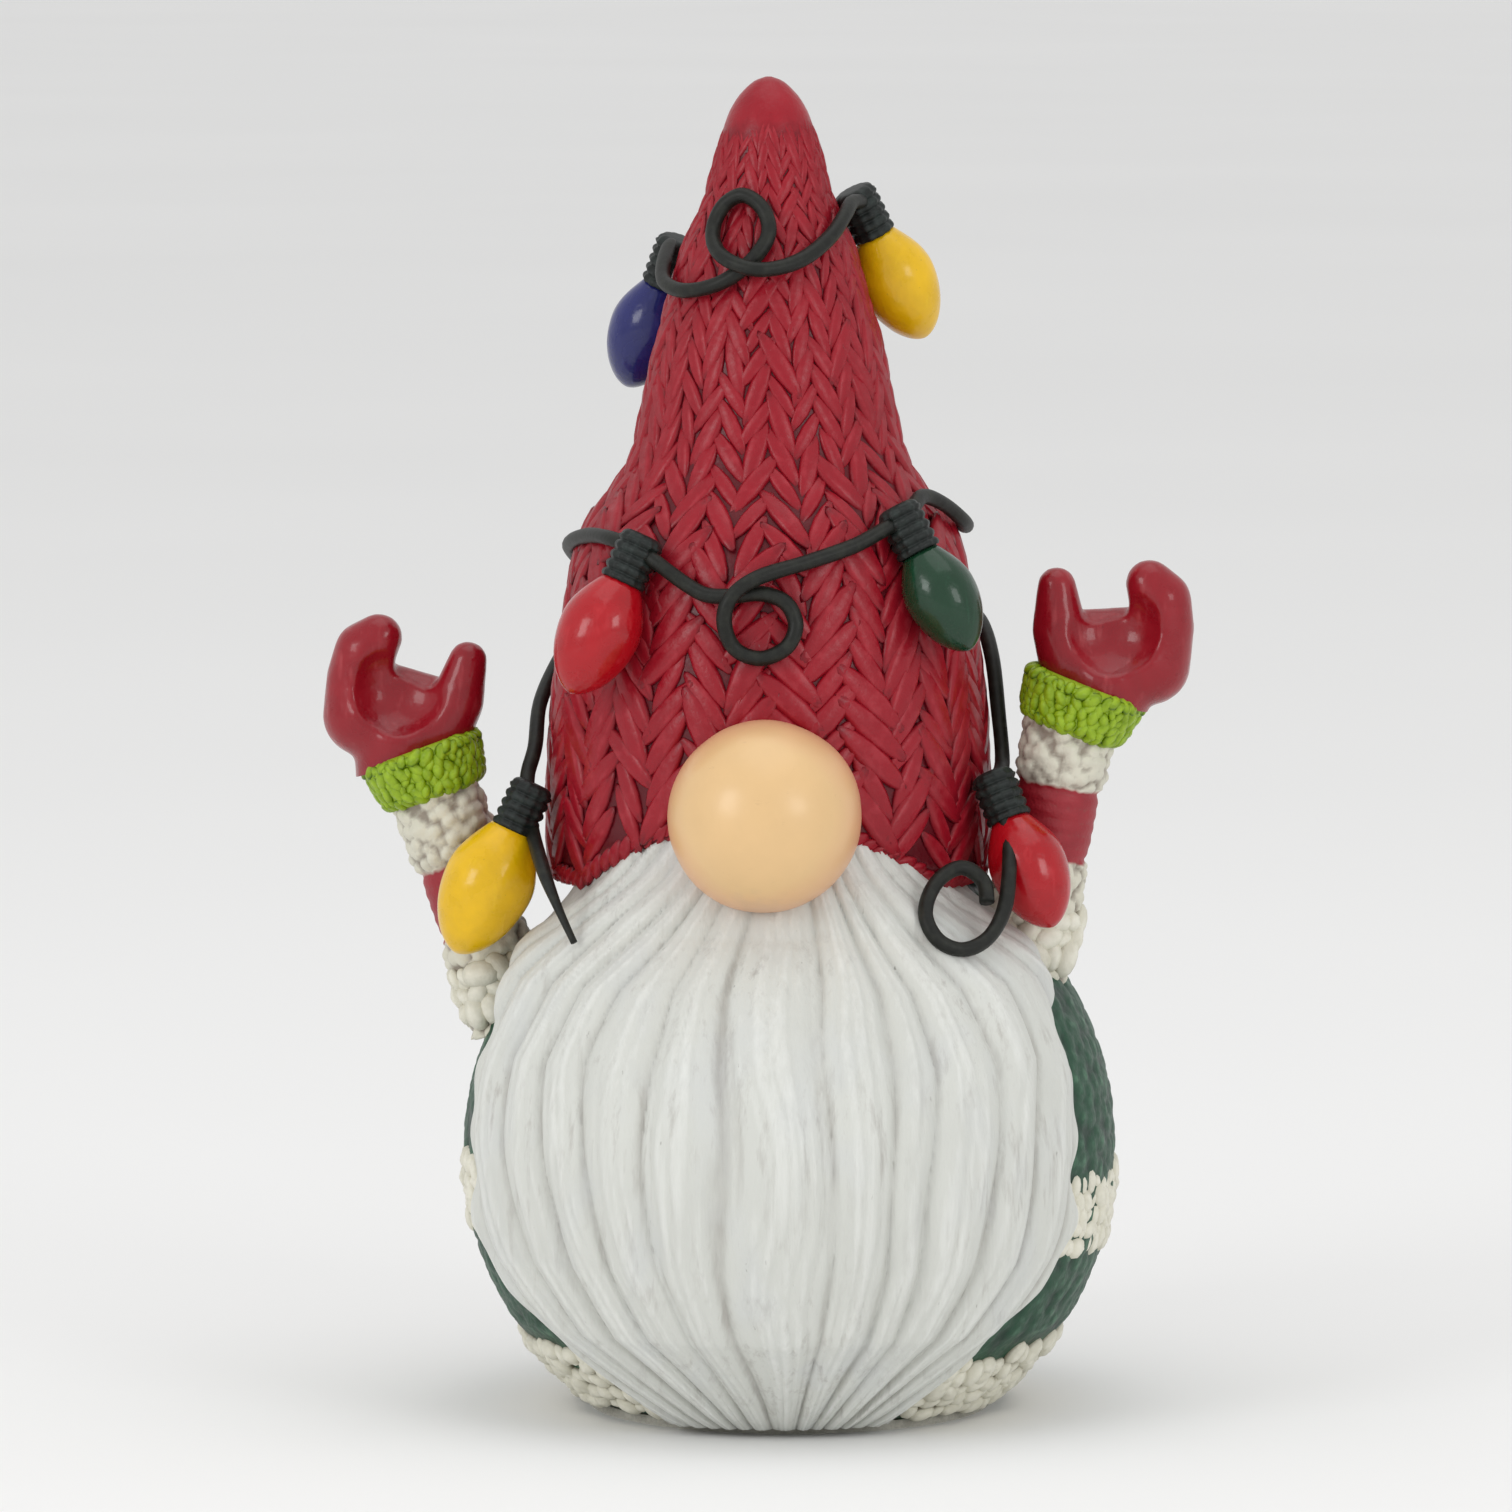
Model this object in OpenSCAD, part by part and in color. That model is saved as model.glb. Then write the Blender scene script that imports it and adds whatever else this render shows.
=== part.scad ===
// Garden gnome with a string of painted bulbs: a cast resin figure glued up from
// separate castings. The front faces -Y, Z points up, and the origin is the centre
// of the base on the ground. Left and right are as seen from the front.

/* [Body] */
// Radius of the ball-shaped body
body_r = 37; // [36.5:0.1:37.4]
// Height of the ball's centre above the ground
body_z = 28.6; // [28:0.1:29]
// Thickness of the cast body wall
body_wall = 4; // [3:0.5:5]
// Thickness of the felt pad under the base
felt_t = 1; // [0.6:0.1:1.4]

/* [Beard] */
// Radius of the beard's rounded front
beard_r = 39.4; // [39.2:0.1:39.8]
// How far the beard's centre stands in front of the body's
beard_shift = 2.4; // [2:0.1:2.6]
// Half the width of the beard across its sides
beard_half_w = 33; // [32:0.5:34]

/* [Hat] */
// Sideways place of the hat's axis
hat_x = -2.4; // [-3:0.1:0]
// Thickness of the hat's wall
hat_wall = 3; // [2.5:0.5:4]
// Height of the brim's arch over the nose
brim_top = 67.5; // [66.5:0.5:68.5]

/* [Nose] */
// Radius of the ball nose
nose_r = 10.8; // [9.5:0.1:11]

/* [Arms] */
// Radius of a sleeve
sleeve_r = 5.2; // [4.6:0.1:5.4]
// Radius of a cuff
cuff_r = 7.2; // [6.6:0.1:7.6]
// Height of a cuff
cuff_h = 6; // [5.4:0.2:6.4]
// Diameter of the steel rod in each arm
rod_d = 2; // [1.6:0.2:2.4]

/* [Light string] */
// Diameter of the wire
wire_d = 1.7; // [1.4:0.1:1.8]
// Diameter of a socket
socket_d = 5; // [4.6:0.1:5.2]
// Diameter of a bulb
bulb_d = 9; // [8:0.1:9.4]
// Length of a bulb below its socket
bulb_h = 13.4; // [12:0.2:14]

/* [Hidden] */

$fn = 64;
HULL_FN = 28;
gap = 0.15;

// Body
body_top = 60;
neck_r = 14;
neck_h = 6;
foot_r = 22.8;
foot_slope = 0.94;
plug_r = 9;
plug_t = 2.5;
plug_flange = 1.5;
plug_flange_t = 1;
felt_r = 22.5;

// Beard: the sides in front view, from the top corner down to the tip
beard_side = [[25, 70], [beard_half_w, 52], [beard_half_w, 23], [28.3, 15.7],
    [22, 8.8], [16.8, 4], [13, 0]];
beard_back_y = -7.6;
beard_top_r = 21.6;
beard_top_z = 68.5;
beard_neck_r = 30.2;
beard_neck_z = 53.5;
beard_x = -0.9;

// Hat: height and radius from the brim up to the tip
hat_line = [[59.6, 23.6], [61, 24.8], [68, 25], [79, 24.5], [90, 23], [96, 21.8],
    [99, 20.5], [103.5, 17], [108, 15.1], [118.4, 13.1], [130.2, 9.7], [134.7, 7.6],
    [141.4, 6], [145.8, 4], [148, 1.8], [148.6, 0]];
hat_hollow = [78, 130];
brim_arch_r = 30;
hat_steps = 8;

// Nose
nose_at = [-0.4, -28, 69];
dowel_r = 2;
dowel_y = [-33, -17];

// Arms: for each, its side, the foot of its cuff, how far the sleeve leans out and
// the length of its sleeve, then the middle of its mitten and how far that turns
arm_y = -2;
LEFT = [-1, [-39.4, arm_y, 68], 19, 30, [-43.2, arm_y, 78.6], 12];
RIGHT = [1, [31.3, arm_y, 75.9], 11, 34, [36.1, arm_y, 86], 0];
cuff_lean = 20;
rod_reach = 9;

// Light string: each light's [angle, height, lift, lean out, lean sideways, size].
// Angles go round the hat from its front, counted towards the right.
wire_r = wire_d / 2;
lights = [[-122, 128.5, 2.9, 24, 0, 0.95], [116, 134.2, 2.9, 28, 0, 0.98],
    [-31.5, 97.5, 3, 20, 17, 1], [46.2, 100.5, 3, 24, -16, 0.9],
    [-67, 69, 3.1, 25, 4, 1.12], [69, 70.6, 3.1, 26, 4, 0.96],
    [195, 107.5, 3, 42, 0, 1], [150, 88, 3, 16, 0, 1]];
socket_h = 5.6;
rib_r = 0.45;
bulb_neck = 0.5;
shoulder = 0.42;

// The wire's route round the hat: [angle, height, lift above the hat's wool]
route_low = [[85, 72.5, 1.6], [91, 78, 1.1], [98, 84, 1.1], [112, 87.6, 1.2],
    [130, 88, 1.6], [143, 88, 2.8], [150, 88, 3], [157, 88, 2.8], [172, 88.5, 1.3],
    [190, 89, 1.1], [208, 90, 1.1], [226, 91.2, 1.1], [244, 93, 1.1],
    [262, 95.4, 1.1], [280, 97.6, 1.1], [300, 98.6, 1.4], [317, 98.4, 2.6],
    [328.5, 97.5, 3], [335, 96.2, 2.8], [342, 94, 1.4], [348, 92.8, 1.1],
    [355, 92.7, 1.1], [363, 93, 1.1], [369.5, 92, 1.1], [372, 89.6, 1.1],
    [369.5, 87.2, 1.1], [363, 86, 1.1], [356.5, 87, 1.3], [354, 89.8, 2.4],
    [355.5, 92.6, 3], [362, 94.8, 2.4], [376, 96.4, 1.2], [390, 98, 1.4],
    [400, 99.8, 2.7], [406.2, 100.5, 3], [413, 101.6, 2.8], [424, 102.6, 2.2],
    [437, 101.4, 1.8], [450, 99.2, 1.4], [464, 98.4, 1.2], [482, 100.6, 1.1],
    [502, 105, 1.1], [522, 109.8, 1.1], [542, 114.4, 1.1],
    [562, 118.8, 1.1], [582, 123.2, 1.2], [592, 126.4, 2.4], [598, 128.5, 2.9],
    [606, 129.4, 2.6], [626, 128, 1.4], [650, 126, 1.1], [672, 125.2, 1.1],
    [690, 125.6, 1.1], [704, 126.8, 1.1], [717, 129, 1.1], [725, 131.6, 1.1],
    [721, 134.2, 1.1], [706, 135.7, 1.1], [691, 134.6, 1.1], [687, 132.2, 1.1],
    [694, 130, 1.6], [706, 128.6, 2.6], [720, 127.8, 2.8], [735, 128.2, 1.8],
    [750, 129.4, 1.2], [768, 131.4, 1.2], [788, 133.4, 1.3], [808, 134.5, 1.6],
    [824, 134.5, 2.6], [836, 134.2, 2.9], [848, 133.4, 2.4], [866, 130, 1.3],
    [882, 124.6, 1.2], [896, 119, 2.2], [904, 115, 2.9], [910, 111, 3],
    [915, 107.5, 3], [920, 104.5, 2.8], [932, 98.6, 1.4], [944, 94.4, 1.6],
    [952, 91.4, 2.9], [960, 87.6, 1.6], [975, 82.4, 1.1], [990, 78.4, 1.1],
    [1003, 74.2, 1.5], [1009, 71.4, 2.7], [1013, 69, 3.1]];
// Free ends beyond the two lowest sockets, as points in space
curl_end = [[25.2, -13, 66], [25.6, -16.8, 62], [25.2, -19.4, 58], [23.6, -22.2, 55.2],
    [21, -24.4, 54.2], [18.3, -25.2, 55.4], [16.9, -24.2, 58.2], [17.9, -21.6, 61.2],
    [20.4, -19, 62.6], [22.8, -18.8, 61.2], [23.4, -20.3, 59]];
spline_steps = 2;
wire_sides = 8;

function hat_r(z) = lookup(z, hat_line);
function on_hat(p) = let (r = hat_r(p[1]) + p[2])
    [hat_x + r * sin(p[0]), -r * cos(p[0]), p[1]];

// A Catmull-Rom curve through a list of points
function between(a, b, c, d, t) = 0.5 * (2 * b + (c - a) * t
    + (2 * a - 5 * b + 4 * c - d) * t * t + (3 * b - a - 3 * c + d) * t * t * t);
function smooth(p) = let (last = len(p) - 1)
    [for (i = [0:last - 1]) for (j = [0:spline_steps - 1])
        between(p[max(i - 1, 0)], p[i], p[i + 1], p[min(i + 2, last)], j / spline_steps),
    p[last]];

module tube(points, r) {
    n = len(points);
    dirs = [for (i = [0:n - 1])
        let (d = points[min(i + 1, n - 1)] - points[max(i - 1, 0)]) d / norm(d)];
    square_on = function (v, d) let (w = v - (v * d) * d) w / norm(w);
    sides = [for (i = 0, s = square_on([0, 0, 1], dirs[0]); i < n;
        i = i + 1, s = i < n ? square_on(s, dirs[i]) : s) s];
    rings = [for (i = [0:n - 1]) for (k = [0:wire_sides - 1])
        let (a = 360 * k / wire_sides)
        points[i] + r * (cos(a) * sides[i] + sin(a) * cross(dirs[i], sides[i]))];
    walls = [for (i = [0:n - 2]) for (k = [0:wire_sides - 1])
        let (q = (k + 1) % wire_sides, a = i * wire_sides, b = a + wire_sides)
        [a + k, b + k, b + q, a + q]];
    first = [for (k = [0:wire_sides - 1]) k];
    last = [for (k = [wire_sides - 1:-1:0]) (n - 1) * wire_sides + k];
    polyhedron(rings, concat([first], walls, [last]));
}

module ball(at, r) translate(at) sphere(r);
module along_y(x, z, r, y) translate([x, y[0], z]) rotate([-90, 0, 0]) cylinder(r = r, h = y[1] - y[0]);
// Stands its children on the foot of an arm's cuff, leaning outwards
module at_wrist(arm, lean) translate(arm[1]) rotate([0, arm[0] * lean, 0]) children();

module arm_rod(arm) color("#a8acb0") at_wrist(arm, arm[2])
    translate([0, 0, -arm[3]]) cylinder(r = rod_d / 2, h = arm[3] + rod_reach);

// Body
module foot_cone(r) translate([0, 0, felt_t])
    cylinder(r1 = r, r2 = r + foot_slope * beard_top_z, h = beard_top_z);

module body_form() intersection() {
    ball([0, 0, body_z], body_r);
    foot_cone(foot_r);
}

module body_shell() color("#2d5541") difference() {
    union() {
        intersection() {
            body_form();
            translate([0, 0, felt_t]) cylinder(r = body_r + 1, h = body_top - felt_t);
        }
        translate([0, 0, body_top - 1]) cylinder(r = neck_r, h = neck_h + 1);
    }
    intersection() {
        ball([0, 0, body_z], body_r - body_wall);
        translate([0, 0, felt_t + body_wall])
            cylinder(r = body_r, h = body_top - felt_t - 2 * body_wall);
    }
    translate([0, 0, felt_t - 1]) cylinder(r = plug_r, h = body_wall + 2);
    translate([0, 0, felt_t - 1]) cylinder(r = plug_r + plug_flange, h = plug_flange_t + 1);
    arm_rod(LEFT);
    arm_rod(RIGHT);
}

module base_plug() color("#3a3a38") translate([0, 0, felt_t]) {
    cylinder(r = plug_r + plug_flange - gap, h = plug_flange_t);
    cylinder(r = plug_r, h = plug_flange_t + plug_t);
}

module base_felt() color("#23382c") cylinder(r = felt_r, h = felt_t);

// Beard
module beard_form() {
    translate([beard_x, -beard_shift, body_z + 0.4]) sphere(beard_r);
    translate([beard_x, -beard_shift, beard_neck_z])
        cylinder(r1 = beard_neck_r, r2 = beard_top_r, h = beard_top_z - beard_neck_z);
}

module brim_arch(r) along_y(hat_x, brim_top - brim_arch_r, r, [-60, -5]);

module beard() color("#d7d8d2") difference() {
    intersection() {
        union() beard_form();
        union() {
            brim_arch(brim_arch_r - gap);
            translate([-60, -60, 0]) cube([120, 60, hat_line[0][0] - gap]);
        }
        translate([0, beard_back_y, 0]) rotate([90, 0, 0]) linear_extrude(50)
            polygon(concat(beard_side,
                [for (i = [len(beard_side) - 1:-1:0]) [-beard_side[i][0], beard_side[i][1]]]));
        translate([beard_x, -beard_shift, 0]) foot_cone(foot_r + beard_shift);
    }
    body_form();
    cylinder(r = neck_r, h = 2 * body_top);
    along_y(nose_at[0], nose_at[2], dowel_r, dowel_y);
}

// Hat
module hat_form() rotate_extrude()
    polygon(concat([[0, hat_line[0][0]]], [for (p = hat_line) [p[1], p[0]]]));

module hat() color("#9c1f2e") difference() {
    translate([hat_x, 0, 0]) hat_form();
    brim_arch(brim_arch_r);
    translate([0, 0, body_top - 1]) cylinder(r = neck_r + gap, h = neck_h + 1 + gap);
    translate([0, 0, body_top - 1]) cylinder(r = sqrt(pow(body_r, 2) - pow(body_top - body_z, 2)), h = 1);
    translate([hat_x, 0, 0]) rotate_extrude() {
        zs = [for (i = [0:hat_steps]) hat_hollow[0] + (hat_hollow[1] - hat_hollow[0]) * i / hat_steps];
        polygon(concat([[0, hat_hollow[0]]], [for (z = zs) [hat_r(z) - hat_wall, z]],
            [[0, hat_hollow[1]]]));
    }
    along_y(nose_at[0], nose_at[2], dowel_r, dowel_y);
}

// Nose
module nose() color("#e6b27c") difference() {
    ball(nose_at, nose_r);
    translate([hat_x, 0, 0]) hat_form();
    beard_form();
    along_y(nose_at[0], nose_at[2], dowel_r, dowel_y);
}

module nose_dowel() color("#c8a878")
    along_y(nose_at[0], nose_at[2], dowel_r, dowel_y);

// Arms
module cuff_space(arm) at_wrist(arm, cuff_lean) cylinder(r = 2 * cuff_r, h = 2 * cuff_r);

module sleeve(arm) color("#e9e4d4") difference() {
    at_wrist(arm, arm[2]) translate([0, 0, -arm[3]]) cylinder(r = sleeve_r, h = arm[3] + cuff_h);
    cuff_space(arm);
    ball([0, 0, body_z], body_r);
    arm_rod(arm);
}

module cuff(arm) color("#7cc02c") difference() {
    at_wrist(arm, cuff_lean) rotate_extrude() {
        square([cuff_r - cuff_h / 2, cuff_h]);
        translate([cuff_r - cuff_h / 2, cuff_h / 2]) circle(cuff_h / 2);
    }
    arm_rod(arm);
}

module mitten_form(side) difference() {
    union() {
        hull() {
            translate([-2.6 * side, 0, -2]) sphere(5, $fn = HULL_FN);
            translate([2.8 * side, 0, -2]) sphere(5.4, $fn = HULL_FN);
            translate([0, 0, -5]) sphere(4.6, $fn = HULL_FN);
        }
        hull() {
            translate([4.6 * side, 0, -1]) sphere(4.8, $fn = HULL_FN);
            translate([4.9 * side, 0, 4]) sphere(4.1, $fn = HULL_FN);
            translate([4 * side, 0, 6.2]) sphere(3.1, $fn = HULL_FN);
        }
        hull() {
            translate([-5.2 * side, 0, -1]) sphere(3.9, $fn = HULL_FN);
            translate([-6.1 * side, 0, 6.2]) sphere(2.7, $fn = HULL_FN);
        }
    }
    translate([-1.2 * side, -4.6, 4.2]) sphere(4.2, $fn = HULL_FN);
}

module mitten(arm) color("#8e1626") difference() {
    translate(arm[4]) rotate([0, arm[5], 0]) mitten_form(arm[0]);
    at_wrist(arm, cuff_lean) translate([0, 0, -cuff_h]) cylinder(r = 2 * cuff_r, h = 2 * cuff_h);
    arm_rod(arm);
}

// Light string
module light_frame(i, lean = true) {
    light = lights[i];
    translate(on_hat(light)) rotate([0, 0, light[0]])
        rotate([0, lean ? light[4] : 0, 0]) rotate([lean ? -light[3] : 0, 0, 0])
            children();
}

module wire_route() {
    free = on_hat(lights[5]);
    other = on_hat(lights[4]);
    tail = [other + [0.5, -0.6, -3.4], [-25.4, -21, 62], [-23.6, -23.6, 58.4],
        [-21.6, -25.2, 54.6]];
    start = [for (i = [len(curl_end) - 1:-1:0]) curl_end[i]];
    tube(smooth(concat(start, [free], [for (p = route_low) on_hat(p)], tail)), wire_r);
}

module light_wire() color("#191a16") wire_route();

module socket(i) color("#1c211c") difference() {
    light_frame(i) translate([0, 0, 1.6]) mirror([0, 0, 1]) rotate_extrude() {
        square([socket_d / 2 - rib_r, socket_h]);
        for (k = [1:4])
            translate([socket_d / 2 - rib_r, socket_h * k / 5]) intersection() {
                circle(rib_r, $fn = 24);
                translate([0, -rib_r]) square(2 * rib_r);
            }
    }
    light_frame(i, false) rotate([0, 90, 0])
        cylinder(r = wire_r + gap, h = 2 * socket_d, center = true);
}

// The bulb's outline: a waisted neck that swells to the shoulder, then a blunt oval end
function bulb_outline(r, h) = [for (k = [0:16])
    let (t = sin(90 * k / 16), low = (t - shoulder) / (1 - shoulder))
    [r * (t < shoulder ? bulb_neck + (1 - bulb_neck) * sin(90 * t / shoulder)
        : pow(max(1 - low * low, 0), 0.6)), -h * t]];

module bulb(i, shade) color(shade) {
    size = lights[i][5];
    light_frame(i) translate([0, 0, 1.6 - socket_h]) {
        rotate_extrude()
            polygon(concat([[0, 0]], bulb_outline(size * bulb_d / 2, size * bulb_h)));
    }
}

body_shell();
base_plug();
base_felt();
beard();
hat();
nose();
nose_dowel();
arm_rod(LEFT);  // left_arm_rod
arm_rod(RIGHT);  // right_arm_rod
sleeve(LEFT);  // left_sleeve
sleeve(RIGHT);  // right_sleeve
cuff(LEFT);  // left_cuff
cuff(RIGHT);  // right_cuff
mitten(LEFT);  // left_mitten
mitten(RIGHT);  // right_mitten
light_wire();
socket(0);  // socket_hat_left
socket(1);  // socket_hat_right
socket(2);  // socket_front_left
socket(3);  // socket_front_right
socket(4);  // socket_low_left
socket(5);  // socket_low_right
socket(6);  // socket_back_high
socket(7);  // socket_back_low
bulb(0, "#27348c");  // bulb_hat_left
bulb(1, "#f2c21a");  // bulb_hat_right
bulb(2, "#d81e22");  // bulb_front_left
bulb(3, "#1e5a36");  // bulb_front_right
bulb(4, "#f2c21a");  // bulb_low_left
bulb(5, "#d81e22");  // bulb_low_right
bulb(6, "#d81e22");  // bulb_back_high
bulb(7, "#1e5a36");  // bulb_back_low
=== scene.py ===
"""Garden gnome: the painted castings, the string of bulbs and a plain studio.

Lengths are in metres in Blender. The lists of heights, radii and route points below are
in millimetres, in the same frame as the model: the front faces -Y and Z points up.
"""
import itertools
import math

import bmesh
import bpy
import numpy as np
from bpy.props import FloatProperty, FloatVectorProperty, IntProperty, PointerProperty
from mathutils import Matrix, Vector


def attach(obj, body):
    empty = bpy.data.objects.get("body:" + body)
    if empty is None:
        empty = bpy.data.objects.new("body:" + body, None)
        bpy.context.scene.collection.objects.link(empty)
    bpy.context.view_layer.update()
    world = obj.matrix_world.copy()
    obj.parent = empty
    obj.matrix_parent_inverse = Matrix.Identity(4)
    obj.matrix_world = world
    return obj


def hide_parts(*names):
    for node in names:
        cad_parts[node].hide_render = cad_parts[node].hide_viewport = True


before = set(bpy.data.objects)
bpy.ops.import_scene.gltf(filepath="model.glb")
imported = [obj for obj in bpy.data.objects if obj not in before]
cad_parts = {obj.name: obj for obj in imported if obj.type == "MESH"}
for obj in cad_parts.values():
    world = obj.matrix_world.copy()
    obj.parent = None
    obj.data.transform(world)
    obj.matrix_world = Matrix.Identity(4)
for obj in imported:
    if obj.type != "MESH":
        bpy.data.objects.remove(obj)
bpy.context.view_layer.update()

bl_info = {
    "name": "Garden Gnome",
    "version": (1, 0, 0),
    "blender": (4, 5, 0),
    "location": "3D View > Sidebar > Gnome",
    "description": "Builds a painted garden gnome with a string of bulbs",
    "category": "Add Mesh",
}

MM = 0.001

# Hat: height and radius from the brim up to the tip
HAT_X = -2.4
HAT_LINE = np.array([
    (59.6, 23.6), (61, 24.8), (68, 25), (79, 24.5), (90, 23), (96, 21.8), (99, 20.5),
    (103.5, 17), (108, 15.1), (118.4, 13.1), (130.2, 9.7), (134.7, 7.6), (141.4, 6),
    (145.8, 4), (148, 1.8), (148.6, 0)])
HAT_TOP = 148.6
TIP_TOP = 148.45
WOOL_TOP = 145.6
BRIM_EDGE = 59.6
BRIM_R = 24.1
BRIM_TOP = 67.5
BRIM_ARCH_R = 30
KNIT_TURN = 5

# Body and beard
BODY_R = 37
BODY_Z = 28.6
BODY_TOP = 61
FELT = 1
FOOT_R = 22.8
FOOT_SLOPE = 0.94
BEARD_R = 39.4
BEARD_MID = np.array((-0.9, -2.4))
BEARD_Z = 29
BEARD_NECK = ((53.5, 30.2), (68.5, 21.6))
# Half the angle that the beard's outline, and its strands, cover at each height
BEARD_SPAN = ((1, 29), (4, 34), (9, 42), (16, 53), (23, 60), (35, 61), (45, 64), (52, 71), (60, 74))
STRAND_SPAN = ((1, 24), (6, 36), (12, 48), (20, 58), (32, 64), (42, 68), (50, 64), (56, 52),
               (61, 40), (67, 30))
# How far the beard is turned towards the right
BEARD_TURN = math.radians(3)
# Edges of the beard's locks, in shares of the strands' span on each side
LOCKS = np.array((-1.3, -1.1, -0.93, -0.755, -0.607, -0.472, -0.296, -0.13, 0.138, 0.305, 0.41,
                  0.6, 0.74, 0.91, 1.08, 1.3))

# Nose and arms: side, foot of the cuff, lean of the sleeve, middle of the mitten, its turn
NOSE_AT = (-0.4, -28, 69)
NOSE_R = 10.8
NOSE_BACK = -18.5
ARM_Y = -2
CUFF_LEAN = 20
CUFF_R = 7.2
CUFF_H = 6
SLEEVE_R = 5.2
ARMS = {
    "left": (-1, (-39.4, ARM_Y, 68), 19, (-43.2, ARM_Y, 78.6), 12),
    "right": (1, (31.3, ARM_Y, 75.9), 11, (36.1, ARM_Y, 86), 0),
}
SLEEVE_LENGTH = {"left": 27, "right": 29}
# Where the red stripe starts and ends, and the rows of fluff round the arm's root
SLEEVE_RED = {"left": (7.6, 15.6), "right": (5.8, 14)}
ARM_TRIM = {"left": (20, 22, 24), "right": (20.5, 22.5, 24.5)}

# Balls of a mitten from its wrist to its tips: x away from the body, y, z and radius
HAND = (
    ((-1.6, 0.2, -9.5, 4.9), (-0.4, 0.3, -4, 5.2)),
    ((-2.6, 0.6, -2.5, 4.7), (3.0, 0.6, -2.0, 5.2)),
    ((4.0, 0.5, -2.4, 4.7), (5.3, 0.2, 1.6, 3.8), (5.3, -0.2, 4.6, 3.5), (4.1, -0.5, 6.6, 2.7)),
    ((-4.2, 0.3, -2.2, 4.1), (-5.9, -0.2, 1.4, 3.1), (-6.2, -0.4, 6.2, 2.2)),
    ((-3.2, 2.2, 1.0, 2.5), (3.4, 2.2, 1.2, 2.7)),
)

# Each light: angle round the hat, height, lift, lean outwards, lean sideways, size, colour
LIGHTS = {
    "hat_left": (-122, 128.5, 2.9, 24, 0, 0.95, "blue"),
    "hat_right": (116, 134.2, 2.9, 28, 0, 0.98, "yellow"),
    "front_left": (-31.5, 97.5, 3, 20, 17, 1, "red"),
    "front_right": (46.2, 100.5, 3, 24, -16, 0.9, "green"),
    "low_left": (-67, 69, 3.1, 25, 4, 1.12, "yellow"),
    "low_right": (69, 70.6, 3.1, 26, 4, 0.96, "red"),
    "back_high": (195, 107.5, 3, 42, 0, 1, "red"),
    "back_low": (150, 88, 3, 16, 0, 1, "green"),
}
# Each bulb's lighter streaks, which are brush marks and painted highlight, roughness and coat
BULB_LOOKS = {
    "red": ((0.66, 0.06, 0.07), 0.22, 0.35),
    "yellow": ((0.88, 0.60, 0.01), 0.25, 0.3),
    "blue": ((0.06, 0.08, 0.30), 0.22, 0.35),
    "green": ((0.03, 0.13, 0.07), 0.22, 0.35),
}
SOCKET_D = 5
SOCKET_H = 5.6
SOCKET_TOP = 1.6
BULB_D = 9
BULB_H = 13.4
BULB_NECK = 0.5
BULB_SHOULDER = 0.42
WIRE_R = 0.85

# The wire's route round the hat: angle, height, lift above the wool
ROUTE = [
    (85, 72.5, 1.6), (91, 78, 1.1), (98, 84, 1.1), (112, 87.6, 1.2), (130, 88, 1.6),
    (143, 88, 2.8), (150, 88, 3), (157, 88, 2.8), (172, 88.5, 1.3), (190, 89, 1.1),
    (208, 90, 1.1), (226, 91.2, 1.1), (244, 93, 1.1), (262, 95.4, 0.7),
    (280, 97, 0.5), (300, 98.2, 1), (317, 98.4, 2.6), (328.5, 97.5, 3),
    (335, 96.2, 2.8), (342, 94, 1.4), (348, 92.8, 1.1), (355, 92.7, 1.1), (363, 93, 1.1),
    (369.5, 92, 1.1), (372, 89.6, 1.1), (369.5, 87.2, 1.1), (363, 86, 1.1), (356.5, 87, 1.3),
    (354, 89.8, 2.4), (355.5, 92.6, 3), (362, 94.8, 2.4), (376, 96.4, 1.2), (390, 98, 1.4),
    (400, 99.8, 2.7), (406.2, 100.5, 3), (413, 101.6, 2.8), (424, 102.6, 2.2),
    (437, 101.4, 1.8), (450, 99.2, 1.4), (464, 98.4, 1.2), (482, 100.6, 1.1), (502, 105, 1.1),
    (522, 109.8, 1.1), (542, 114.4, 1.1), (562, 118.8, 1.1), (582, 123.2, 1.2),
    (592, 126.4, 2.4), (598, 128.5, 2.9), (606, 129.4, 2.6), (626, 128, 1.4), (650, 126, 1.1),
    (672, 125.2, 1.1), (690, 125.6, 1.1), (704, 126.8, 1.1), (717, 129, 1.1), (725, 131.6, 1.1),
    (721, 134.2, 1.1), (706, 135.7, 1.1), (691, 134.6, 1.1), (687, 132.2, 1.1), (694, 130, 1.6),
    (706, 128.6, 2.6), (720, 127.8, 2.8), (735, 128.2, 1.8), (750, 129.4, 1.2),
    (768, 131.4, 1.2), (788, 133.4, 1.3), (808, 134.5, 1.6), (824, 134.5, 2.6),
    (836, 134.2, 2.9), (848, 133.4, 2.4), (866, 130, 1.3), (882, 124.6, 1.2), (896, 119, 2.2),
    (904, 115, 2.9), (910, 111, 3), (915, 107.5, 3), (920, 104.5, 2.8), (932, 98.6, 1.4),
    (944, 94.4, 1.6), (952, 91.4, 2.9), (960, 87.6, 1.6), (975, 82.4, 1.1), (990, 78.4, 1.1),
    (1003, 74.2, 1.5), (1009, 71.4, 2.7), (1013, 69, 3.1)]
CURL_END = [
    (25.2, -13, 66), (25.6, -16.8, 62), (25.2, -19.4, 58), (23.6, -22.2, 55.2),
    (21, -24.4, 54.2), (18.3, -25.2, 55.4), (16.9, -24.2, 58.2), (17.9, -21.6, 61.2),
    (20.4, -19, 62.6), (22.8, -18.8, 61.2), (23.4, -20.3, 59)]
TAIL_FROM_SOCKET = (0.5, -0.6, -3.4)
TAIL_END = [(-25.4, -21, 62), (-23.6, -23.6, 58.4), (-21.6, -25.2, 54.6)]


# ---------------------------------------------------------------- geometry helpers

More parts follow.
